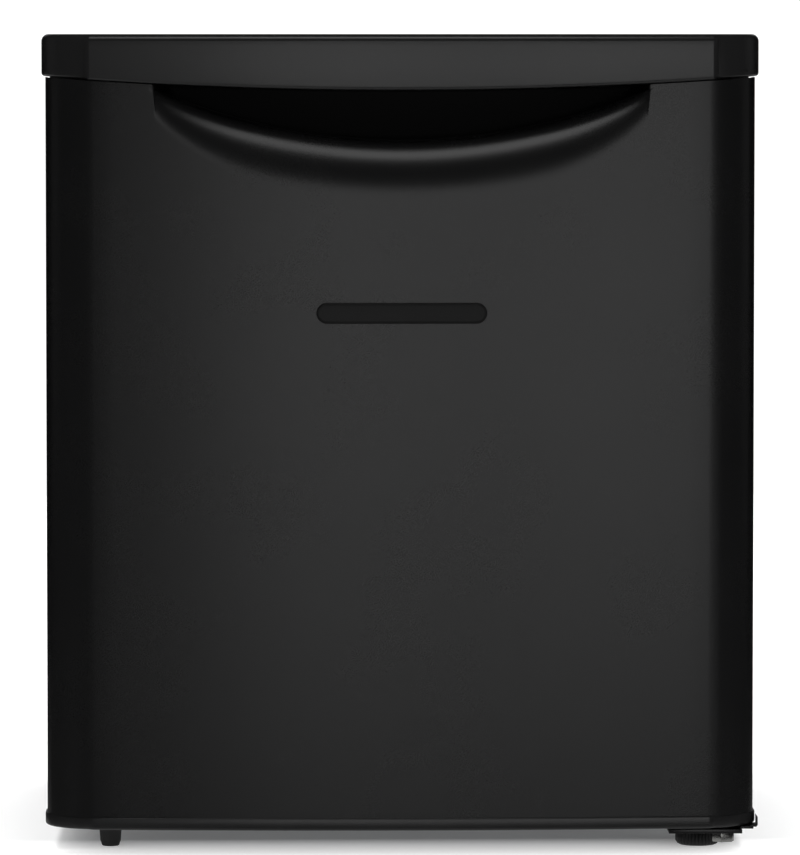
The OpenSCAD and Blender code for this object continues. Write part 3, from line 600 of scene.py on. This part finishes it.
def solids(node):
    """The lowest and the highest corner of each separate solid of a CAD node."""
    work = bmesh.new()
    work.from_mesh(frame["nodes"][node].data)
    bmesh.ops.remove_doubles(work, verts=work.verts, dist=CAD_WELD)
    left, found = set(work.verts), []
    while left:
        stack, group = [left.pop()], []
        while stack:
            vertex = stack.pop()
            group.append(vertex.co.copy())
            for edge in vertex.link_edges:
                other = edge.other_vert(vertex)
                if other in left:
                    left.discard(other)
                    stack.append(other)
        low = Vector([min(point[k] for point in group) for k in range(3)])
        high = Vector([max(point[k] for point in group) for k in range(3)])
        found.append((low, high))
    work.free()
    return sorted(found, key=lambda pair: tuple(round(value, 5) for value in pair[0]))


def screws(node, axis, sign, radius, height, shank, body="cabinet"):
    """Cross-head screws in place of a CAD node's plain ones."""
    k = "XYZ".index(axis)
    meshes = []
    for low, high in solids(node):
        place = (low + high) / 2
        outer = high[k] if sign > 0 else low[k]
        place[k] = outer - sign * height * MM
        meshes.append(cross_head("head", place, axis, sign, radius * MM, height * MM))
        far = list(place)
        far[k] = low[k] if sign > 0 else high[k]
        meshes.append(tube("shank", [place, far], shank * MM))
    stand_in(node + "_crossed", joined(node, meshes), body, node)


def feet():
    """Moulded rubber feet with a collar and a rounded tread."""
    for name, node, r in (("front_foot", "front_left_foot", 7.5), ("back_feet", "rear_feet", 8.5)):
        meshes = []
        for low, high in solids(node):
            middle = (low + high) / 2
            profile = [(0.3 * r, 0)] + arc(r - 3, 1.2, 1.2, -90, -10, 5)
            profile += [(r - 1.5, 2.2), (r - 1, 3.5), (r - 0.2, 14), (r + 0.6, 15), (r + 1.3, 15.4), (r + 1.5, 16),
                        (r + 1.3, 17)]
            meshes.append(turned(name, (middle.x, middle.y, 0), mm(profile), steps=48))
        add(name, joined(name, meshes), "cabinet", "black_rubber", [node])


def leveller():
    """A knurled disc on a threaded stud."""
    low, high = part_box("leveller_foot")
    middle = (low + high) / 2
    stud_low, stud_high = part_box("leveller_stud")
    root = (stud_high.x - stud_low.x) / 2
    bore = root + 0.08 * MM
    r, h = (high.x - low.x) / 2, high.z - low.z
    profile = [(0.3 * r, 0), (r - 3 * MM, 0), (r - 1.1 * MM, 0.9 * MM), (r - 0.5 * MM, 2 * MM), (r, 2.6 * MM),
               (r, h - 1.2 * MM), (r - 0.8 * MM, h - 0.3 * MM), (r - 2 * MM, h), (bore, h),
               (bore, 3.2 * MM), (0.2 * r, 3.2 * MM)]

    def knurl(a, radius):
        return 1 - 0.045 * (0.5 + 0.5 * cos(36 * a)) ** 2 if radius > r - 0.9 * MM else 1

    disc = turned("leveller_disc", (middle.x, middle.y, 0), profile, steps=216, notch=knurl)
    add("leveller_disc", disc, "level_foot", "black_plastic", ["leveller_foot"], angle=50)
    pitch = 1.25 * MM
    thread = [(0.3 * root, stud_low.z), (root - 0.6 * MM, stud_low.z)]
    for i in range(int((stud_high.z - stud_low.z) / pitch)):
        z = stud_low.z + 0.2 * MM + i * pitch
        thread += [(root - 0.55 * MM, z), (root, z + 0.5 * pitch)]
    thread += [(root - 0.6 * MM, stud_high.z - 0.1 * MM), (0.3 * root, stud_high.z)]
    add("leveller_thread", turned("leveller_thread", (middle.x, middle.y, 0), thread, steps=32), "level_stud",
        "bright_steel", ["leveller_stud"], angle=60)


# ---------- door inside ----------

def round_rect(x0, x1, z0, z1, radius, steps=6):
    """Points round a rectangle with rounded corners."""
    radius = max(radius, 0.2 * MM)
    points = []
    for cx, cz, start in ((x1 - radius, z1 - radius, 0), (x0 + radius, z1 - radius, 90),
                          (x0 + radius, z0 + radius, 180), (x1 - radius, z0 + radius, 270)):
        for i in range(steps + 1):
            a = radians(start + 90 * i / steps)
            points.append((cx + radius * cos(a), cz + radius * sin(a)))
    return points


def frame_rings(half_w, z0, z1, rows, corner, steps=6):
    """Upright rounded rectangles; each row gives its inset and its depth in millimetres."""
    rings = []
    for d, depth in mm(rows):
        ring = round_rect(-half_w + d, half_w - d, z0 + d, z1 - d, corner - d, steps)
        rings.append([(x, DOOR_BACK + depth, z) for x, z in ring])
    return rings


def door_liner():
    """The white inner sheet with its raised dykes, and the painted return of the door round it."""
    low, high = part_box("door_liner")
    seam = 24 * MM
    rings = frame_rings(high.x - seam, low.z + seam / 2, high.z - seam / 2, [(0, -0.1), (2, 0)], 14 * MM)
    climb = [(-2.5, 0), (-0.7, 0.7), (0, 2.5), (0, 20), (0.5, 23), (2, 25.2), (4.5, 26), (17.5, 26), (20, 25.2),
             (21.5, 23), (22, 20), (22, 2), (22.4, 0.6), (23.4, 0)]
    rings += frame_rings(DYKE_X, DYKE_Z[0], DYKE_Z[1], climb, 25 * MM)
    sheet = loft("door_inner_sheet", rings, caps=False)
    work = bmesh.new()
    work.from_mesh(sheet)
    work.verts.ensure_lookup_table()
    count = len(rings[0])
    work.faces.new([work.verts[(len(rings) - 1) * count + i] for i in range(count)])
    bmesh.ops.recalc_face_normals(work, faces=work.faces)
    if max(work.faces, key=lambda face: face.calc_area()).normal.y < 0:
        bmesh.ops.reverse_faces(work, faces=work.faces)
    work.to_mesh(sheet)
    work.free()
    sheet = with_modifier(sheet, "SOLIDIFY", thickness=1.5 * MM, offset=-1)
    add("door_inner_sheet", sheet, "door", "white_liner", ["door_liner"])
    flange = []
    for d, depth in mm([(0.3, -1.7), (0, -1.2), (0, -0.4), (0.4, 0), (22.8, 0), (22.8, -1.7)]):
        corner = 3 * MM + (d / 2 if d > 9 * MM else 0)
        ring = round_rect(low.x + d, high.x - d, low.z + d / 2, high.z - d / 2, corner)
        flange.append([(x, DOOR_BACK + depth, z) for x, z in ring])
    add("door_return", welded(loft("door_return", flange + flange[:1], caps=False)), "door", "black_paint")


def door_gasket():
    """A magnetic seal with folded bellows on both sides."""
    low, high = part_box("door_gasket")
    deep = (high.y - low.y) / MM
    outer = [(0.3, 0), (1.6, 0.16), (0.1, 0.34), (1.4, 0.5), (0, 0.68), (0.2, 0.86), (1.2, 1)]
    inner = [(17 - inset, depth) for inset, depth in reversed(outer)]
    rows = [(inset, depth * deep) for inset, depth in outer + inner]
    rings = frame_rings(high.x, low.z, high.z, rows, 21 * MM, 8)
    stand_in("door_seal", welded(loft("door_seal", rings + rings[:1], caps=False)), "door", "door_gasket")


def bin_mesh(name, low, high, corner=7.0):
    """An open bin with rounded corners, a rounded floor and a beaded rim; its rows are in millimetres."""
    wall, foot = 2.0, 4.0
    rows = []
    quarter = [radians(a) for a in (0, 30, 60, 90)]
    for a in quarter:
        rows.append((foot * (1 - sin(a)), foot * (1 - cos(a))))
    rise = (high[2] - low[2]) / MM
    rows += [(0, rise - 0.7), (0.25, rise - 0.2), (0.8, rise), (wall + 0.1, rise), (wall + 0.6, rise - 0.4)]
    rows += [(wall + 0.7, rise - 2.5), (wall, rise - 3.2)]
    for a in reversed(quarter):
        rows.append((wall + (foot - 1) * (1 - sin(a)), wall + (foot - 1) * (1 - cos(a))))
    rings = []
    for d, up in mm(rows):
        ring = round_rect(low[0] + d, high[0] - d, low[1] + d, high[1] - d, corner * MM - d * 0.8)
        rings.append([(x, y, low[2] + up) for x, y in ring])
    return loft(name, rings)


def plate_x(name, outline, x0, x1):
    """A plate across X from (y, z) points."""
    return rounded(loft(name, [[(x, y, z) for y, z in outline] for x in (x0, x1)]), 0.6 * MM, 2)


def racks():
    """The door's two bins; the lower one is low, with two cheeks that hold the bar."""
    low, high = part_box("upper_rack")
    stand_in("upper_bin", bin_mesh("upper_bin", low, high), "door", "upper_rack")
    low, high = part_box("lower_rack")
    top = low.z + 45 * MM
    meshes = [bin_mesh("lower_bin", low, (high.x, high.y, top), corner=2.5)]
    r = 7 * MM
    y = high.y - r - 0.4 * MM
    outline = [(y - r, top - 22 * MM), (y - r, high.z - r)]
    outline += [(y - r * cos(pi * i / 12), high.z - r + r * sin(pi * i / 12)) for i in range(1, 12)]
    outline += [(y + r, high.z - r), (y + r, top - 22 * MM)]
    for x0, x1 in ((low.x + 0.1 * MM, low.x + 3 * MM), (high.x - 3 * MM, high.x - 0.1 * MM)):
        meshes.append(plate_x("cheek", outline, x0, x1))
    stand_in("lower_bin", joined("lower_bin", meshes), "door", "lower_rack")
    softened("rack_bar", 0.4, "door")


# ---------- cold compartment ----------

def inner_liner():
    """The moulded white liner, stepped over the machine bay, with its two shelf ledges."""
    wall, bend = 1.6 * MM, 6 * MM
    low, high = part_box("inner_liner")
    x, y1 = high.x - 1.8 * MM, high.y - 1.8 * MM
    z0, z1 = low.z + 1.8 * MM, high.z - 1.8 * MM
    step_y, step_z = 66 * MM, 240 * MM
    outline = [(low.y, z0), (step_y, z0), (step_y, step_z), (y1, step_z), (y1, z1), (low.y, z1)]
    solid = loft("cold_liner", [[(px, y, z) for y, z in outline] for px in (-x, x)])
    front = low.y + 0.01 * MM
    solid = rounded(solid, bend, 5, keep=lambda edge: all(v.co.y < front for v in edge.verts))
    work = bmesh.new()
    work.from_mesh(solid)
    mouth = [face for face in work.faces if all(v.co.y < front for v in face.verts)]
    bmesh.ops.delete(work, geom=mouth, context="FACES")
    bmesh.ops.recalc_face_normals(work, faces=work.faces)
    floor_face = min(work.faces, key=lambda face: face.calc_center_median().z)
    if floor_face.normal.z < 0:
        bmesh.ops.reverse_faces(work, faces=work.faces)
    work.to_mesh(solid)
    work.free()
    meshes = [with_modifier(solid, "SOLIDIFY", thickness=wall, offset=-1)]
    for side in (-1, 1):
        x0, x1 = sorted((side * (x + 0.8 * MM), side * (x - 7 * MM)))
        meshes.append(block("ledge", (x0, low.y + 60 * MM, step_z - 6 * MM),
                            (x1, step_y + 1 * MM, step_z), 1.8 * MM))
    rim = []
    for grow, depth in ((1.7, 0.05), (-0.1, 0.05), (-0.1, 1.2), (1.7, 1.2)):
        d = grow * MM
        ring = round_rect(-x - d, x + d, z0 - d, z1 + d, 6 * MM if grow < 0 else 0.3 * MM)
        rim.append([(px, low.y + depth * MM, z) for px, z in ring])
    meshes.append(welded(loft("rim", rim + rim[:1], caps=False)))
    add("cold_liner", joined("cold_liner", meshes), "cabinet", "white_liner", ["inner_liner"])


def wire_shelf():
    """A coated wire shelf: a bent frame, cross wires under it and a row of slats."""
    low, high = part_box("wire_shelf")
    r, thin, cross = 3 * MM, 1.6 * MM, 2.2 * MM
    z = low.z + r
    x, y0, y1 = high.x - r, low.y + r, high.y - r
    ring = [(px, py, z) for px, py in round_rect(-x, x, y0, y1, 9 * MM, 8)]
    meshes = [tube("rim", ring, r, steps=16, loop=True)]
    for i in range(-8, 9):
        px = i * 20 * MM
        meshes.append(tube("slat", [(px, y0 - 0.5 * MM, z + 1.2 * MM), (px, y0 + 3 * MM, z + 3 * MM),
                                    (px, y1 - 3 * MM, z + 3 * MM), (px, y1 + 0.5 * MM, z + 1.2 * MM)],
                           thin, 3 * MM, steps=10))
    for step in (95, 190):
        py, pz = y0 + step * MM, z - 0.4 * MM
        meshes.append(tube("cross_wire", [(-x, py, pz), (x, py, pz)], cross, steps=12))
    add("shelf_wires", joined("shelf_wires", meshes), "shelf", "white_wire", ["wire_shelf"], angle=50)


def serpentine(rows, ends, place):
    """Points that run to and fro: rows on one axis, ends on the other, put in space by place(row, end)."""
    points = []
    for i, row in enumerate(rows):
        a, b = ends if i % 2 == 0 else reversed(ends)
        points += [place(row, a), place(row, b)]
    return points


def evaporator():
    """The aluminium freezing box with the blown channels of its plates."""
    low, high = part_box("evaporator")
    y0, y1 = low.y + 14 * MM, high.y - 14 * MM
    z0, r = low.z, 3.4 * MM
    meshes = [rounded(frame["nodes"]["evaporator"].data, 0.5 * MM, 2)]
    for x in (high.x - 1.9 * MM, low.x + 1.9 * MM):
        rows = [z0 + k * MM for k in (10, 46, 64, 82, 97)]
        path = serpentine(rows, (y0, y1), lambda z, y: (x, y, z))
        meshes.append(tube("channel", path, r, 8 * MM, steps=12))
    rows = [low.x + (28 + 34 * k) * MM for k in range(7)]
    path = serpentine(rows, (y0, y1), lambda x, y: (x, y, z0 - 0.4 * MM))
    meshes.append(tube("channel", path, r, 10 * MM, steps=12))
    stand_in("ice_box", joined("ice_box", meshes), "cabinet", "evaporator")


def digits(name, marks, size, place):
    """Small raised numbers of a dial; place(angle) gives each one's centre on the face toward -Y."""
    meshes = []
    for text, angle in marks:
        curve = bpy.data.curves.new(name, "FONT")
        curve.body, curve.size, curve.extrude = text, size, 0.1 * MM
        curve.align_x, curve.align_y = "CENTER", "CENTER"
        curve.resolution_u = 3
        holder = bpy.data.objects.new(name, curve)
        bpy.context.scene.collection.objects.link(holder)
        bpy.context.view_layer.update()
        mesh = bpy.data.meshes.new_from_object(holder.evaluated_get(bpy.context.evaluated_depsgraph_get()))
        bpy.data.objects.remove(holder)
        spot = Vector(place(angle))
        for vertex in mesh.vertices:
            x, y, z = vertex.co
            vertex.co = spot + Vector((x, -z, y))
        meshes.append(welded(mesh))
    return joined(name, meshes)


def thermostat():
    """The control box on the right wall, its dial numbers and its knob."""
    low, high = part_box("thermostat_housing")
    side = high.x - 3 * MM
    knob_low, knob_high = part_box("thermostat_knob")
    cx, cz = (knob_low.x + knob_high.x) / 2, (knob_low.z + knob_high.z) / 2
    meshes = [block("box", low, (side, high.y, high.z), 5 * MM, 4),
              block("foot", (side - 2 * MM, low.y + 20 * MM, low.z + 26 * MM),
                    (high.x, low.y + 70 * MM, low.z + 46 * MM), 0.6 * MM, 2)]
    add("control_box", joined("control_box", meshes), "cabinet", "white_plastic", ["thermostat_housing"])

    def around(angle):
        a = radians(angle)
        return cx + 25.5 * MM * sin(a), low.y - 0.02 * MM, cz + 25.5 * MM * cos(a)

    marks = [(str(k), -150 + 50 * k) for k in range(7)]
    add("dial_numbers", digits("dial_numbers", marks, 7 * MM, around), "cabinet", "black_plastic")
    r = 17
    profile = [(3, 1.4), (r - 3.2, 1.4), (r - 2.4, 0.4), (r - 1.6, 0), (r - 1, 0.2), (r - 0.4, 1.2), (r, 10.6),
               (r + 2, 11.4), (r + 3, 12), (r + 3, 14), (r + 2.6, 14.5), (3, 14.5), (3, 45)]

    def scallop(a, radius):
        grip = (r - 0.7) * MM < radius < (r + 0.5) * MM
        return 1 - 0.035 * (0.5 + 0.5 * cos(18 * a)) ** 2 if grip else 1

    knob = turned("control_knob", (cx, knob_low.y, cz), mm(profile), "Y", 144, scallop)
    ridge = block("ridge", (cx - 2.4 * MM, knob_low.y, cz - 13.4 * MM),
                  (cx + 2.4 * MM, knob_low.y + 3 * MM, cz + 14 * MM), 1.1 * MM)
    stand_in("control_knob", joined("control_knob", [knob, ridge]), "knob", "thermostat_knob")
    mark = block("knob_mark", (cx - 0.5 * MM, knob_low.y - 0.12 * MM, cz - 12 * MM),
                 (cx + 0.5 * MM, knob_low.y + 0.4 * MM, cz - 5.5 * MM))
    add("knob_mark", mark, "knob", "black_plastic")


# ---------- machine bay and back ----------

def back_panel():
    """A pressed steel sheet with a raised border and ribs."""
    low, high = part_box("back_panel")
    meshes = [rounded(frame["nodes"]["back_panel"].data, 0.2 * MM, 1)]
    y, r = high.y - 2.2 * MM, 3.4 * MM
    ring = round_rect(low.x + 36 * MM, high.x - 36 * MM, low.z + 22 * MM, high.z - 22 * MM, 14 * MM, 8)
    meshes.append(tube("border", [(px, y, pz) for px, pz in ring], r, steps=16, loop=True))
    for k in range(-2, 3):
        x = k * 58 * MM
        meshes.append(tube("rib", [(x, y, low.z + 48 * MM), (x, y, high.z - 48 * MM)], r, steps=16))
    stand_in("back_sheet", joined("back_sheet", meshes), "cabinet", "back_panel")


def compressor():
    """The two halves of the sealed pot with their welded seam."""
    low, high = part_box("compressor_lower_shell")
    cx, cy, r = (low.x + high.x) / 2, (low.y + high.y) / 2, (high.x - low.x) / 2 / MM
    wall = r - 2
    lower = [(4, 40)] + arc(r - 17, 55, 15, -90, 0, 10)
    lower += [(wall, 89), (wall + 0.5, 90.5), (r - 0.3, 91.4), (r, 92.2), (r, 94.9), (wall - 3, 94.9),
              (wall - 3, 57), (wall - 17, 43.5), (4, 43.5)]
    upper = [(4, 156), (r - 32, 156), (wall - 3, 128), (wall - 3, 95.1), (r, 95.1), (r, 97.8), (r - 0.3, 98.6),
             (wall + 0.5, 99.5), (wall, 101)]
    upper += arc(r - 32, 130, 30, 0, 90, 14) + [(4, 160)]
    for name, node, profile in (("pot_lower", "compressor_lower_shell", lower),
                                ("pot_upper", "compressor_upper_shell", upper)):
        stand_in(name, turned(name, (cx, cy, 0), mm(profile), steps=96), "cabinet", node)


def relay_cover():
    """The cover of the starting relay, with a raised panel on its front and back."""
    low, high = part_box("relay_cover")
    body = block("relay", low, high, 4 * MM, 3)
    rib = block("rib", (low.x + 6 * MM, low.y - 0.6 * MM, low.z + 8 * MM),
                (high.x - 6 * MM, high.y + 0.6 * MM, high.z - 8 * MM), 1 * MM, 2)
    stand_in("relay_box", joined("relay_box", [body, rib]), "cabinet", "relay_cover")


def pipes():
    """The refrigerant lines with their bends, and the filter drier."""
    low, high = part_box("condenser_coil")
    x = (low.x + high.x) / 2
    r = 2.4 * MM
    y_front, y_turn = CAB_FRONT + 34 * MM, 92 * MM
    rise = [82 * MM + 44 * MM * i for i in range(8)]
    route = serpentine(rise, (y_turn, y_front), lambda z, y: (x, y, z))
    route[0] = (x, 112 * MM, rise[0])
    route[-1] = (x, 150 * MM, rise[-1])
    route.append((x, 150 * MM, 196 * MM))
    stand_in("wall_coil", tube("wall_coil", route, r, 12 * MM, steps=12), "cabinet", "condenser_coil")
    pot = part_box("compressor_lower_shell")
    cx, cy, pr = (pot[0].x + pot[1].x) / 2, (pot[0].y + pot[1].y) / 2, (pot[1].x - pot[0].x) / 2
    y = cy + 5 * MM
    line = [(cx - pr + 1 * MM, y, 82 * MM), (cx - pr - 30 * MM, y, 82 * MM), (cx - pr - 30 * MM, y, 58 * MM),
            (x, y, 58 * MM), (x, y, rise[0]), (x, 112.2 * MM, rise[0])]
    stand_in("hot_line", tube("hot_line", line, r, 9 * MM, steps=14), "cabinet", "discharge_line")
    ice_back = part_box("evaporator")[1].y
    sx, sy = 90 * MM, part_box("inner_liner")[1].y + 8.2 * MM
    line = [(sx, ice_back + 0.2 * MM, 380 * MM), (sx, sy, 380 * MM), (sx, sy, 120 * MM),
            (cx + pr * 0.86, cy + pr * 0.5, 120 * MM)]
    stand_in("cold_line", tube("cold_line", line, 3 * MM, 9 * MM, steps=16), "cabinet", "suction_line")
    dx, dy = -130 * MM, 150 * MM
    can = [(1.5, 82), (2.6, 82.4), (3, 86), (6.5, 92), (8.6, 95.5), (9, 98), (9, 104), (8.5, 105), (8.5, 106.5),
           (9, 107.5), (9, 157), (8.6, 159.5), (6.5, 163), (3.4, 169), (3, 172.6), (1.5, 173)]
    inlet = [(dx, dy, 171 * MM), (dx, dy, 188 * MM), (x, dy, 188 * MM), (x, dy, 195.8 * MM)]
    outlet = [(dx, dy, 84 * MM), (dx, dy, 75 * MM), (dx, 109.2 * MM, 75 * MM)]
    meshes = [turned("drier", (dx, dy, 0), mm(can)), tube("drier_inlet", inlet, r, 6 * MM, steps=14),
              tube("capillary", outlet, 1.2 * MM, 5 * MM, steps=10)]
    stand_in("drier_and_lines", joined("drier_and_lines", meshes), "cabinet", "filter_drier")
    bx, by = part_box("evaporator")[1].x + 3.5 * MM, 100 * MM
    low_z, high_z = 362 * MM, 389 * MM
    bulb = [(1, 0), (2.2, 0.5), (3, 2), (3, 86), (2.2, 89), (1, 90)]
    line = [(bx, 88 * MM, low_z), (bx, by, low_z), (bx + 4.5 * MM, by, high_z), (121 * MM, by, high_z)]
    meshes = [turned("bulb", (bx, 0, low_z), mm(bulb), "Y", 24),
              tube("bulb_line", line, 1 * MM, 5 * MM, steps=10)]
    stand_in("sensor", joined("sensor", meshes), "cabinet", "sensing_bulb")


door_skin()
worktop()
door_trim()
door_core()
badge()
feet()
leveller()
door_liner()
door_gasket()
racks()
inner_liner()
wire_shelf()
evaporator()
thermostat()
back_panel()
compressor()
relay_cover()
pipes()
screws("back_panel_screws", "Y", 1, 4.0, 2.0, 2.0)
screws("worktop_screws", "Y", 1, 4.0, 2.4, 2.0)
screws("upper_hinge_screws", "Z", 1, 5.0, 3.0, 2.4)
screws("lower_hinge_screws", "Z", -1, 5.0, 2.4, 2.4)
screws("cap_screws", "Z", -1, 4.0, 1.6, 1.7, "door")
for node, width in (("upper_hinge_bracket", 0.6), ("lower_hinge_bracket", 0.6), ("lower_hinge_pin", 0.9),
                    ("upper_hinge_pin", 0.8), ("base_pan", 0.3), ("rear_cross_bar", 0.4),
                    ("cord_gland", 0.6), ("wall_spacers", 0.9), ("compressor_plate", 0.8),
                    ("compressor_bolts", 0.6), ("leveller_nut", 0.5), ("bay_shield", 0.25),
                    ("cabinet_shell", 0.35), ("overhang_panel", 0.5), ("ice_box_frame", 1.2),
                    ("tray_rails", 0.5), ("compressor_grommets", 0.8), ("thermostat_body", 1.0)):
    softened(node, width)
# painted shade: the door's top cap takes the same darker black that stands for shade
softened("door_top_cap", 0.6, "door", look="painted_shade_black")
softened("lower_hinge_washer", 0.2, look="black_plastic")
for node, width in (("door_stop", 0.3), ("upper_hinge_bush", 0.5), ("lower_hinge_bush", 0.5)):
    softened(node, width, "door")
softened("freezer_flap", 0.8, "flap")
softened("drip_tray", 0.7, "tray")

# ---------- camera and light ----------

SIGHT = 4.0  # from the camera to the front, seen from above
TURN = radians(-1.2)  # how far it stands to the side
AIM = Vector((-1.2 * MM, TOP_FRONT, 0.2712))
RISE = 0.2416  # how far it stands above what it aims at


def camera():
    """Stands nearly square in front, at about worktop height, and looks a little down."""
    lens = bpy.data.cameras.new("camera")
    lens.sensor_width = 36
    lens.lens = 271.8
    lens.clip_end = 60
    lens.dof.use_dof = False
    eye = bpy.data.objects.new("camera", lens)
    eye.location = AIM + Vector((SIGHT * sin(TURN), -SIGHT * cos(TURN), RISE))
    eye.rotation_euler = (AIM - eye.location).to_track_quat("-Z", "Y").to_euler()
    bpy.context.scene.collection.objects.link(eye)
    bpy.context.scene.camera = eye


def lamp(name, place, aim, size, power, glossy=True):
    """A rectangular area light that the camera doesn't see."""
    light = bpy.data.lights.new(name, "AREA")
    light.shape = "RECTANGLE"
    light.size, light.size_y = size
    light.energy = power
    holder = bpy.data.objects.new(name, light)
    holder.location = place
    holder.rotation_euler = (Vector(aim) - Vector(place)).to_track_quat("-Z", "Y").to_euler()
    holder.visible_glossy = glossy
    holder.visible_camera = False
    holder.visible_transmission = False
    bpy.context.scene.collection.objects.link(holder)


def softbox(name, place, aim, size, radiance):
    """An area light of a given brightness as seen in a reflection."""
    lamp(name, place, aim, size, radiance * pi * size[0] * size[1])


def floor():
    """A plain pale floor; a painted glow in front lights it where the fridge's shadow would fall, so the shadow
    ends short.
    """
    mesh = mesh_of("floor", [(-2, -1.2, 0), (2, -1.2, 0), (2, 3, 0), (-2, 3, 0)], [(0, 1, 2, 3)])
    ground = bpy.data.objects.new("floor", mesh)
    paper = finish("floor_painted_glow", (0.9, 0.9, 0.9), 0.9, tone=0.004, bump=0.0,
                   sockets={"Specular IOR Level": 0.0, "Emission Color": (1, 1, 1, 1)})
    tree = paper.node_tree
    place = tree.nodes.new("ShaderNodeTexCoord")
    split = tree.nodes.new("ShaderNodeSeparateXYZ")
    glow = tree.nodes.new("ShaderNodeMapRange")
    # painted light: emission rises from the back toward the front, lighting the floor under the fridge's front
    # edge
    for socket, value in (("From Min", -0.12), ("From Max", -0.20), ("To Min", 0.02), ("To Max", 0.75)):
        glow.inputs[socket].default_value = value
    tree.links.new(place.outputs["Object"], split.inputs[0])
    tree.links.new(split.outputs["Y"], glow.inputs["Value"])
    tree.links.new(glow.outputs["Result"], tree.nodes["Principled BSDF"].inputs["Emission Strength"])
    mesh.materials.append(paper)
    bpy.context.scene.collection.objects.link(ground)
    ground.visible_glossy = False


def surroundings():
    """An even white room for the eye and for soft light; reflections come from the lamps alone."""
    world = bpy.data.worlds.new("studio")
    world.use_nodes = True
    room = world.node_tree.nodes["Background"]
    room.inputs["Color"].default_value = (1, 1, 1, 1)
    room.inputs["Strength"].default_value = 1.15
    bpy.context.scene.world = world
    world.cycles_visibility.glossy = False


camera()
floor()
surroundings()
softbox("front_left_light", (-0.21, -4.6, 0.27), (-0.21, 0, 0.27), (0.62, 1.2), 2.05)
softbox("front_right_light", (1.05, -4.6, 0.27), (1.05, 0, 0.27), (1.34, 1.2), 1.45)
softbox("hinge_light", (2.3, -3.9, -0.27), (0.2, -0.2, 0.01), (0.9, 0.3), 0.7)
softbox("upper_light", (-0.08, -0.95, 1.75), (-0.08, TOP_FRONT, 0.45), (0.85, 0.6), 2.0)
softbox("left_light", (-3.2, 0.9, 1.0), (0, 0.4, 0.3), (1.6, 2.0), 0.04)
softbox("right_light", (3.2, 0.9, 1.0), (0, 0.4, 0.3), (1.6, 2.0), 0.06)
softbox("rear_light", (0, 4.2, 1.2), (0, 0, 0.3), (3.0, 2.0), 0.25)
softbox("below_light", (0, 1.2, -0.6), (0, 1.2, 0), (5.4, 6.0), 0.32)
lamp("floor_light", (0, 0.3, 3.2), (0, 0.3, 0), (2.0, 2.0), 90, glossy=False)
bpy.context.scene.view_settings.view_transform = "Standard"
